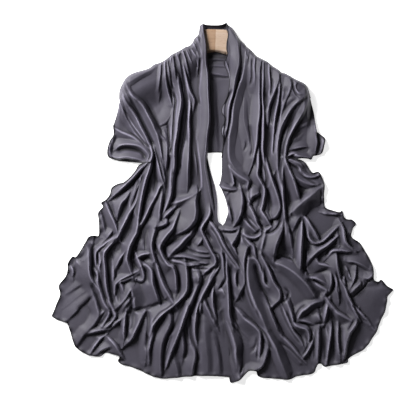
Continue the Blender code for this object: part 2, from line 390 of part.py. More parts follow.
RIGHT_OUTER_EDGE = (
    (170, 105), (185, 103), (196, 97), (203, 88), (209, 78), (216, 71), (228, 74), (234, 68), (243, 46),
    (242, 22), (243, 2), (246, -12), (264, -19), (280, -23), (287, -20), (290, -33), (298, -40),
    (310, -41), (319, -51), (312, -60), (308, -81), (327, -95), (334, -105), (348, -128), (357, -146),
    (361, -162), (362, -184), (373, -190), (380, -184), (409, -208),
)
LEFT_HEM = (
    (-409, -271), (-394, -280), (-373, -287), (-367, -300), (-362, -316), (-356, -334), (-349, -347),
    (-328, -361), (-310, -366), (-294, -367), (-279, -358), (-262, -362), (-245, -368), (-250, -379),
    (-238, -387), (-216, -393), (-196, -401), (-178, -410), (-160, -417), (-138, -420), (-105, -417),
    (-75, -414), (-42, -413), (-12, -414), (17, -417),
)
RIGHT_HEM = (
    (17, -417), (20, -430), (33, -427), (45, -419), (60, -403), (72, -400), (82, -403), (89, -416),
    (125, -420), (160, -422), (180, -414), (216, -408), (223, -395), (228, -385), (238, -385),
    (246, -391), (272, -387), (298, -382), (301, -373), (318, -361), (333, -354), (346, -342),
    (358, -324), (369, -307), (377, -284), (388, -260), (393, -236), (394, -224), (409, -208),
)
BACK_HEM = (
    (-272, 109), (-230, 101), (-186, 99), (-100, 114), (-34, 121), (0, 122), (100, 114), (170, 107),
    (236, 118),
)

# The back's small cross folds, which show below the hanger in the neck opening
BACK_FOLDS = (
    Fold(2, 4, 2, 6, 6, ((-40, 343), (-15, 345), (12, 343))),
    Fold(2, 4, 2, 6, 5, ((-42, 329), (-15, 330), (16, 328))),
    Fold(2, 4, 2, 9, 5, ((-42, 308), (-15, 309), (18, 307))),
    Fold(1, 3, 2, 9, 7, ((-22, 290), (-20, 220), (-16, 140)), 1.8),
)
NECK_RIM_RISE = 11.0  # how far the collar stands up behind the hanger's neck
SHOULDER_RIM_RISE = 6.0  # the same beside the arms, where the front folds over
RIM_BAND = 6.5
RIM_LEFT, RIM_RIGHT = -34.0, -2.0
RIM_CLEARANCE = 1.0  # more air where the front folds over the rim
RIM_CLEARANCE_START, RIM_CLEARANCE_WIDTH = 6.0, 12.0
RIM_EASE = 14.0  # length over which the collar's rim sinks to the shoulders'
RIM_FADE_SHARE, RIM_FADE = 0.8, 0.12  # the rim runs out before the arm's end
RIM_POWER = 1.2
CROSS_FOLDS_TOP = 354.0  # the back's cross folds start below this
BACK_ROWS = (  # shares of the back's height, close together at the rim and at its folds
    0, 0.02, 0.04, 0.1, 0.2, 0.245, 0.274, 0.298, 0.322, 0.345, 0.373, 0.39, 0.42, 0.55, 0.75, 1,
)
YOKE_ROWS = (  # shares of a yoke's height, close together where it wraps the hanger
    0, 0.025, 0.055, 0.1, 0.16, 0.23, 0.3, 0.37, 0.44, 0.51, 0.58, 0.65, 0.72, 0.79, 0.86, 0.93, 1,
)


def smooth_line(points, pieces):
    """A smooth curve through the points, as Catmull-Rom spans of that many pieces each."""
    p = np.array(points, float)
    p = np.vstack([2 * p[0] - p[1], p, 2 * p[-1] - p[-2]])
    t = (np.arange(pieces) / pieces)[:, None]
    spans = [
        0.5 * (2 * b + (c - a) * t + (2 * a - 5 * b + 4 * c - d) * t**2 + (3 * b - a - 3 * c + d) * t**3)
        for a, b, c, d in zip(p[:-3], p[1:-2], p[2:-1], p[3:])
    ]
    return np.vstack([*spans, p[-2:-1]])


def ease(t):
    """0 to 1 with a soft start and end."""
    t = np.clip(t, 0, 1)
    return t * t * (3 - 2 * t)


def fold_rise(fold, x, y, least):
    """Height of one fold over points x, y: full on its crest and 0 at the foot of each flank."""
    rise = np.zeros_like(x)
    line = smooth_line(fold.crest, 4)
    reach = max(fold.lit, fold.lee, least)
    low, high = line.min(axis=0) - reach, line.max(axis=0) + reach
    near = (x > low[0]) & (x < high[0]) & (y > low[1]) & (y < high[1])
    if not near.any():
        return rise
    point = np.stack([x[near], y[near]], axis=-1)
    steps = np.diff(line, axis=0)
    lengths = np.hypot(*steps.T)
    along = np.concatenate([[0], np.cumsum(lengths)])
    best = np.full(len(point), np.inf)
    share = np.zeros(len(point))
    side = np.zeros(len(point))
    for start, step, length, before in zip(line, steps, lengths, along):
        off = point - start
        t = np.clip(off @ step / length**2, 0, 1)
        gap = off - t[:, None] * step
        distance = np.hypot(*gap.T)
        closer = distance < best
        best = np.where(closer, distance, best)
        share = np.where(closer, (before + t * length) / along[-1], share)
        side = np.where(closer, (step[0] * gap[:, 1] - step[1] * gap[:, 0]), side)
    chord = line[-1] - line[0]
    lit_side = np.sign(chord[0] * 0.6 + chord[1] * 1.0) or 1.0  # the left of a crest that runs upwards
    width = np.where(side * lit_side > 0, fold.lit, fold.lee)
    width = np.maximum(width, least)
    height = np.interp(share, (0, 0.5, 1), (fold.start, fold.mid, fold.end))
    rise[near] = height * (1 - np.clip(best / width, 0, 1) ** fold.sharp)
    return rise


def folds_rise(folds, x, y, least):
    """All folds together: the highest one wins, with a rounded valley where two meet."""
    total = np.zeros_like(x)
    for fold in folds:
        total += fold_rise(fold, x, y, least) ** FOLD_BLEND
    return total ** (1 / FOLD_BLEND)


def swell_rise(x, y):
    """The heaped cloth under the folds."""
    total = np.zeros_like(x)
    for swell in SWELLS:
        across, along = (x - swell.x) / swell.across, (y - swell.y) / swell.along
        total += swell.height * np.exp(-(across**2) - along**2)
    return total


# The hanger's arm at shares of its half span: middle line, height in plan and thickness
ArmSection = namedtuple("ArmSection", "share drop height thick")

ARM_SECTIONS = (
    ArmSection(0.000, 0, 59, 14),
    ArmSection(0.090, 0, 59, 14),
    ArmSection(0.120, 2, 57, 14),
    ArmSection(0.145, 8, 49, 14),
    ArmSection(0.190, 19, 40, 14),
    ArmSection(0.250, 36, 31, 14),
    ArmSection(0.360, 45, 29, 15),
    ArmSection(0.600, 81, 29, 19),
    ArmSection(0.780, 103, 28, 23),
    ArmSection(0.900, 118, 26, 25),
    ArmSection(0.970, 127, 22, 23),
    ArmSection(1.000, 133, 12, 18),
)
ARM_ROUNDING = 4.0  # power of the section's rounded outline: 2 is an ellipse


def arm_row(share, column):
    """A column of the arm table at any share of the half span."""
    return np.interp(share, [s.share for s in ARM_SECTIONS], [getattr(s, column) for s in ARM_SECTIONS])


def hanger_local(x, y):
    """Share of the half span and distance above the arm's middle line, in the tilted hanger's own plan."""
    dx, dy = x - HANGER_X, y - HANGER_NECK_Y
    c, s = math.cos(-HANGER_TILT), math.sin(-HANGER_TILT)
    across, up = c * dx - s * dy, s * dx + c * dy
    share = np.abs(across) / HANGER_HALF_SPAN
    return share, up + arm_row(share, "drop") + np.maximum(share - 1, 0) * ARM_END_SLOPE


def arm_top(x, y):
    """Top of the hanger's wood at a point, or 0 beside it."""
    share, off = hanger_local(x, y)
    reach = np.abs(off) / (arm_row(share, "height") / 2)
    crown = np.maximum(1 - reach**ARM_ROUNDING, 0) ** (1 / ARM_ROUNDING)
    return np.where((share <= 1) & (reach <= 1), HANGER_REST + arm_row(share, "thick") / 2 * (1 + crown), 0)


def hanger_drape(x, y):
    """How far the hanger lifts the cloth: over the arm, then in a long slope below it."""
    share, off = hanger_local(x, y)
    top = arm_row(share, "thick") + DRAPE_AIR
    half = arm_row(share, "height") / 2
    slope = DRAPE_BELOW + DRAPE_BELOW_MORE * np.minimum(share, 1)
    above = 1 - ease((off - half - DRAPE_AIR) / DRAPE_ABOVE)
    below = 1 - ease((-off - DRAPE_STARTS * half) / slope)
    past = 1 - ease((share - DRAPE_ENDS) / DRAPE_END_SHARE)
    return top * np.where(off > 0, above, below) * past


def edge_distance(x, y):
    """Distance in plan to the cloth's upper edge, from shoulder to shoulder."""
    line = np.vstack([LEFT_SHOULDER, NECK_RIM, RIGHT_SHOULDER]).astype(float)
    nearest = np.full(np.shape(x), np.inf)
    for start, end in zip(line[:-1], line[1:]):
        step = end - start
        t = np.clip(((x - start[0]) * step[0] + (y - start[1]) * step[1]) / max(step @ step, 1e-9), 0, 1)
        nearest = np.minimum(nearest, np.hypot(x - start[0] - t * step[0], y - start[1] - t * step[1]))
    return nearest


def rim_rise(x, y):
    """How far the back panel's upper edge curls up round the hanger."""
    neck = ease((x - RIM_LEFT) / RIM_EASE + 1) * ease((RIM_RIGHT - x) / RIM_EASE + 1)
    share, _ = hanger_local(x, y)
    shoulders = SHOULDER_RIM_RISE * (1 - ease((share - RIM_FADE_SHARE) / RIM_FADE))
    rise = neck * NECK_RIM_RISE + (1 - neck) * shoulders
    return rise * np.maximum(1 - edge_distance(x, y) / RIM_BAND, 0) ** RIM_POWER


def back_top(x, y, least):
    """Top of the back panel: flat on the surface, with small cross folds and the curled rim."""
    cross_folds = np.where(y < CROSS_FOLDS_TOP, folds_rise(BACK_FOLDS, x, y, least), 0)
    return WALL + cross_folds + rim_rise(x, y)


def front_top(x, y, least):
    """Top of the front cloth over the hanger, the back panel and the surface."""
    over_back = back_reach(x, y)
    floor = WALL + over_back * (WALL + SEAM + BACK_AIR)
    lift = hanger_drape(x, y)
    slack = 1 - PULLED_FLAT * np.minimum(lift / FULL_LIFT, 1)
    loose = swell_rise(x, y) - VALLEY + folds_rise(FOLDS, x, y, least) * slack
    return floor + np.maximum(loose, over_back * LEAST_LOOSE) + lift


def back_reach(x, y):
    """1 over the back panel, 0 well below its hem."""
    hem = np.array(BACK_HEM, float)
    return 1 - ease((np.interp(x, hem[:, 0], hem[:, 1]) - BACK_STEP_START - y) / BACK_STEP)


def by_share(points, shares, pieces=6):
    """Points along an edge at these shares of its length, or that many evenly spaced ones."""
    line = smooth_line(points, pieces)
    along = np.concatenate([[0], np.cumsum(np.hypot(*np.diff(line, axis=0).T))])
    shares = np.linspace(0, 1, shares) if isinstance(shares, int) else np.array(shares)
    at = shares * along[-1]
    return np.stack([np.interp(at, along, line[:, 0]), np.interp(at, along, line[:, 1])], axis=-1)


def patch(top, bottom, left, right, shares=None):
    """Plan points inside four edges that meet at their corners (a Coons patch), rows from top to bottom."""
    rows, columns = len(left), len(top)
    v = np.linspace(0, 1, rows) if shares is None else np.array(shares)
    v = v[:, None, None]
    u = np.linspace(0, 1, columns)[None, :, None]
    ruled = (1 - v) * top[None] + v * bottom[None] + (1 - u) * left[:, None] + u * right[:, None]
    upper_corners = (1 - u) * (1 - v) * top[0] + u * (1 - v) * top[-1]
    lower_corners = (1 - u) * v * bottom[0] + u * v * bottom[-1]
    return ruled - upper_corners - lower_corners


def material(name, colour, roughness):
    """A plain Principled material."""
    made = bpy.data.materials.new(name)
    made.use_nodes = True
    shader = made.node_tree.nodes["Principled BSDF"]
    shader.inputs["Base Color"].default_value = colour
    shader.inputs["Roughness"].default_value = roughness
    shader.inputs["Metallic"].default_value = 0.0
    return made


def add_object(name, points, faces, made):
    """A smooth-shaded object from points in millimetres."""
    mesh = bpy.data.meshes.new(name)
    mesh.from_pydata((np.asarray(points) * MM).tolist(), [], faces)
    mesh.validate()
    mesh.materials.append(made)
    mesh.shade_smooth()
    mesh.set_sharp_from_angle(angle=math.radians(50))
    obj = bpy.data.objects.new(name, mesh)
    bpy.context.scene.collection.objects.link(obj)
    return obj


def cloth_wall(name, plan, top, under, made):
    """A closed wall between two height grids over one plan grid."""
    rows, columns = top.shape
    upper = np.dstack([plan, top]).reshape(-1, 3)
    lower = np.dstack([plan, under]).reshape(-1, 3)
    index = np.arange(rows * columns).reshape(rows, columns)
    a, b, c, d = index[:-1, :-1], index[1:, :-1], index[1:, 1:], index[:-1, 1:]
    quads = np.stack([a, b, c, d], axis=-1).reshape(-1, 4)
    count = rows * columns
    around = np.concatenate([index[:, 0], index[-1, 1:], index[-2::-1, -1], index[0, -2:0:-1]])
    after = np.roll(around, -1)
    rim = np.stack([around, around + count, after + count, after], axis=-1)
    faces = [*quads.tolist(), *(quads[:, ::-1] + count).tolist(), *rim.tolist()]
    return add_object(name, np.vstack([upper, lower]), faces, made)


def front_wall(name, plan, over_back, made):
    """One stretch of the front cloth. Its underside clears what lies beneath and is flat on the surface."""
    x, y = plan[..., 0], plan[..., 1]
    top = front_top(x, y, LEAST_FOLD)
    lowest = np.zeros_like(x)
    if over_back:
        for dx, dy in NEIGHBOURS:
            lowest = np.maximum(lowest, back_top(x + dx, y + dy, LEAST_FOLD) + SEAM)
            lowest = np.maximum(lowest, arm_top(x + dx, y + dy) + SEAM)
        past_rim = ease((edge_distance(x, y) - RIM_CLEARANCE_START) / RIM_CLEARANCE_WIDTH)
        lowest = lowest + RIM_CLEARANCE * (1 - past_rim)
    top = np.maximum(top, lowest + WALL)
    return cloth_wall(name, plan, top, np.maximum(lowest, top - WALL), made)


def build_cloth(made):
    """The five stretches of the jersey."""
    waist_columns, sleeve_columns = 27, 10
    shoulder_columns = waist_columns + sleeve_columns - 1
    fan_rows, fan_columns = 21, 50
    left_foot = np.vstack([
        by_share(LEFT_SLEEVE_HEM, sleeve_columns), by_share(LEFT_WAIST, waist_columns)[1:],
    ])
    right_foot = np.vstack([
        by_share(RIGHT_WAIST, waist_columns), by_share(RIGHT_SLEEVE_HEM, sleeve_columns)[1:],
    ])
    left_yoke = patch(
        by_share(LEFT_SHOULDER, shoulder_columns), left_foot,
        by_share(LEFT_SLEEVE_END, YOKE_ROWS), by_share(LEFT_LAPEL, YOKE_ROWS), YOKE_ROWS,
    )
    right_yoke = patch(
        by_share(RIGHT_SHOULDER, shoulder_columns), right_foot,
        by_share(RIGHT_LAPEL, YOKE_ROWS), by_share(RIGHT_SLEEVE_END, YOKE_ROWS), YOKE_ROWS,
    )
    front_wall("left_yoke", left_yoke, True, made)
    front_wall("right_yoke", right_yoke, True, made)

    left_fan = patch(
        by_share(LEFT_WAIST, fan_columns), by_share(LEFT_HEM, fan_columns),
        by_share(LEFT_OUTER_EDGE, fan_rows), by_share(LEFT_INNER_EDGE, fan_rows),
    )
    right_fan = patch(
        by_share(RIGHT_WAIST, fan_columns), by_share(RIGHT_HEM, fan_columns),
        by_share(RIGHT_INNER_EDGE, fan_rows), by_share(RIGHT_OUTER_EDGE, fan_rows),
    )
    left_fan[:, -1, 0] -= SEAM / 2
    right_fan[:, 0, 0] += SEAM / 2
    for plan in (left_fan, right_fan):
        plan[0, :, 1] -= SEAM
    front_wall("left_fan", left_fan, False, made)
    front_wall("right_fan", right_fan, False, made)

    arm_columns, neck_columns = 14, 5
    shoulders = np.vstack([
        by_share(LEFT_SHOULDER, arm_columns), by_share(NECK_RIM, neck_columns)[1:],
        by_share(RIGHT_SHOULDER, arm_columns)[1:],
    ])
    back = patch(
        shoulders, by_share(BACK_HEM, len(shoulders)),
        by_share(LEFT_SLEEVE_END, BACK_ROWS), by_share(RIGHT_SLEEVE_END, BACK_ROWS), BACK_ROWS,
    )
    x, y = back[..., 0], back[..., 1]
    cloth_wall("back_panel", back, back_top(x, y, LEAST_FOLD), rim_rise(x, y), made)


def build_hanger(made):
    """Two wooden arms that meet at the neck, each a loft of rounded sections."""
    ring = 16
    angle = 2 * math.pi * (np.arange(ring) + 0.5) / ring
    square = 2 / ARM_ROUNDING
    outline = np.stack([np.sign(np.cos(angle)) * np.abs(np.cos(angle)) ** square,
                        np.sign(np.sin(angle)) * np.abs(np.sin(angle)) ** square], axis=-1)
    c, s = math.cos(HANGER_TILT), math.sin(HANGER_TILT)
    for name, side in (("hanger_left_arm", -1), ("hanger_right_arm", 1)):
        points = []
        for section in ARM_SECTIONS:
            across = side * max(section.share * HANGER_HALF_SPAN, SEAM / 2)
            up = -section.drop + outline[:, 0] * section.height / 2
            height = HANGER_REST + section.thick / 2 * (1 + outline[:, 1])
            x = HANGER_X + c * across - s * up
            y = HANGER_NECK_Y + s * across + c * up
            points.append(np.stack([x, y, height], axis=-1))
        count = len(points)
        faces = []
        for i in range(count - 1):
            for j in range(ring):
                k = (j + 1) % ring
                quad = (i * ring + j, i * ring + k, (i + 1) * ring + k, (i + 1) * ring + j)
                faces.append(quad if side > 0 else quad[::-1])
        first, last = list(range(ring)), list(range((count - 1) * ring, count * ring))
        faces += [first[::-1], last] if side > 0 else [first, last[::-1]]
        add_object(name, np.vstack(points), faces, made)


def main():
    """Clears the scene, then builds the cloth and the hanger."""
    for obj in list(bpy.data.objects):
        bpy.data.objects.remove(obj)
    build_cloth(material("charcoal_jersey", JERSEY_COLOUR, 0.62))
    build_hanger(material("lacquered_beech", BEECH_COLOUR, 0.42))


main()
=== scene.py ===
"""Charcoal jersey hijab, laid flat over a wooden clothes hanger: the looks of every piece.

The cloth is one rectangle of knit jersey with a rolled hem. Its middle lies behind the hanger's neck and
both halves come forward over the shoulders, are drawn together under the arms and fan out below.

Each stretch of cloth that shows is a grid between four named edges. Its height is worked out from a table
with one row for each fold. Tables are in millimetres, meshes in metres. +Z is up from the surface, +Y runs
towards the neck and +X to the right of someone who looks down on the front.
"""

import logging
import math
from dataclasses import dataclass, field
from enum import Enum
from typing import Callable

import bpy
import numpy as np
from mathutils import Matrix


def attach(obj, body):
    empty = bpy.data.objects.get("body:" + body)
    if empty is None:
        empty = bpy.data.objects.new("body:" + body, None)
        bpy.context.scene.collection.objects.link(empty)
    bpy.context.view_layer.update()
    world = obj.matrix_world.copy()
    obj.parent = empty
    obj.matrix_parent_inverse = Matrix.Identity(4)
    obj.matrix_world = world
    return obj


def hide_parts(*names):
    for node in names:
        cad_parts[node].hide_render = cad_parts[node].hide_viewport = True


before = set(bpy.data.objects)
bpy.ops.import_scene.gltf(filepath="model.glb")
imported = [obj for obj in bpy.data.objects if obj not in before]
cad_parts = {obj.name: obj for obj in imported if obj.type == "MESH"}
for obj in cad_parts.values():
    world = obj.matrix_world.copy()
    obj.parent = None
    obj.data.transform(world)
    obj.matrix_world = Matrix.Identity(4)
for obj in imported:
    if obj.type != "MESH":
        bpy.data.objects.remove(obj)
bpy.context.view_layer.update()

LOG = logging.getLogger("hijab")
MM = 0.001
Array = np.ndarray
Points = tuple[tuple[float, float], ...]
Run = tuple[float, ...]  # a line in plan: x and y of each point in turn
Unrest = tuple[float, float, int]  # slow waves: most height, mean wavelength and seed

WALL = 2.0  # what one stretch of cloth takes up in height, gathers and all
SEAM = 0.35  # air between a stretch and what it lies on
JERSEY = 1.1  # thickness of the jersey itself
STITCH = 3.2  # pitch of the hem's overlock stitches

EDGE_PIECES = 6  # straight pieces for each span of an edge
FOLD_PIECES = 5  # of a fold or crease
HEM_PIECES = 4  # and of a hem that frills
GOLDEN_TURN = 2.39996  # in radians
TINY = 1e-6  # keeps a divisor off 0


class Layer(Enum):
    """What a stretch of the cloth lies on."""

    BACK = "the table, behind the hanger"
    OVER = "the hanger and the back panel"
    FRONT = "the table, below the hanger"


@dataclass(frozen=True)
class Fold:
    """One fold of the cloth.

    start, mid and end are heights along its crest, lit and lee the widths of the flank towards the upper
    left and of the other one, and crest its line in plan. sharp is how round it is: pinched up to 1.3, a
    full arch from 2.2 on, and between them a mix.
    """

    start: float
    mid: float
    end: float
    lit: float
    lee: float
    crest: Run
    sharp: float = 1.4


@dataclass(frozen=True)
class Crease:
    """A narrow, dark valley between folds: its depth, half width and line in plan."""

    deep: float
    wide: float
    line: Run


@dataclass(frozen=True)
class Swell:
    """Heaped cloth under the folds: centre, half widths and height."""

    x: float
    y: float
    across: float
    along: float
    height: float


@dataclass(frozen=True)
class ArmSection:
    """The hanger's arm at a share of its half span: middle line, height in plan and thickness."""

    share: float
    drop: float
    height: float
    thick: float


LEFT_YOKE_FOLDS = tuple(Fold(*row) for row in (
    # The long roll beside the neck opening
    (8, 13, 3, 16, 7, (-48, 414, -43, 370, -39, 320, -36, 275, -34, 225, -35, 190, -39, 145, -44, 105,
     -39, 65, -32, 25, -26, -5), 2.2),
    (2, 5, 3, 4, 5, (-55, 300, -54, 271, -52, 243, -53, 212, -55, 182, -61, 158)),
    # Gathers beside the collar
    (4, 7, 2, 5, 5, (-64, 398, -58, 383, -53, 368)),
    (4, 6, 2, 5, 5, (-72, 387, -66, 373, -61, 360)),
    (4, 7, 3, 8, 6, (-82, 373, -70, 358, -57, 344)),
    (5, 7, 2, 5, 5, (-90, 370, -80, 347, -71, 329)),
    (6, 8, 4, 6, 5, (-97, 367, -89, 345, -86, 322, -82, 300)),
    (6, 9, 5, 6, 6, (-104, 363, -98, 335, -91, 308, -83, 283, -76, 262, -68, 243, -68, 228)),
    (5, 6, 2, 4, 4, (-112, 359, -106, 343, -101, 326)),
    (6, 12, 7, 10, 7, (-118, 355, -115, 328, -109, 303, -104, 280, -99, 250, -103, 215, -109, 180,
     -113, 145, -115, 111, -118, 65, -123, 25, -132, -5, -141, -21), 1.6),
    (6, 8, 3, 5, 5, (-124, 351, -126, 328, -123, 303, -118, 284, -111, 268)),
    (6, 8, 4, 6, 5, (-139, 340, -136, 313, -134, 285, -130, 262, -124, 240)),
    (5, 8, 2, 5, 6, (-142, 338, -145, 312, -149, 285, -152, 260)),
    (2, 3, 1, 18, 7, (-121, 222, -128, 205, -140, 192, -158, 184), 1.9),
    (2, 5, 3, 6, 5, (-156, 180, -151, 164, -139, 150, -131, 130)),
    # The hanger's edge and the slanting folds that run from the shoulder to the underarm
    (3, 7, 6, 12, 14, (-168, 323, -190, 307, -210, 296, -228, 284), 1.8),
    (7, 13, 8, 10, 12, (-229, 282, -222, 261, -204, 246, -188, 229, -177, 208, -165, 184, -155, 160)),
    (8, 9, 6, 8, 8, (-155, 160, -149, 135, -145, 110, -141, 85, -138, 62)),
    (5, 11, 7, 8, 8, (-240, 260, -229, 237, -215, 215, -202, 194, -190, 171, -180, 150, -172, 131)),
    (4, 9, 6, 8, 6, (-246, 240, -234, 215, -219, 192, -204, 173, -190, 152, -176, 130)),
    (5, 8, 5, 8, 6, (-257, 180, -236, 169, -215, 158, -199, 146, -186, 133, -177, 121)),
    (4, 11, 6, 9, 13, (-260, 127, -243, 137, -223, 140, -204, 138, -189, 130, -179, 119, -176, 106)),
    (5, 9, 4, 14, 5, (-268, 114, -248, 108, -228, 109, -208, 107, -193, 102, -184, 98), 1.8),
    (3, 8, 5, 5, 9, (-262, 156, -269, 139, -271, 124, -268, 112)),
    (7, 14, 9, 6, 7, (-174, 138, -168, 122, -169, 107, -175, 96)),
))

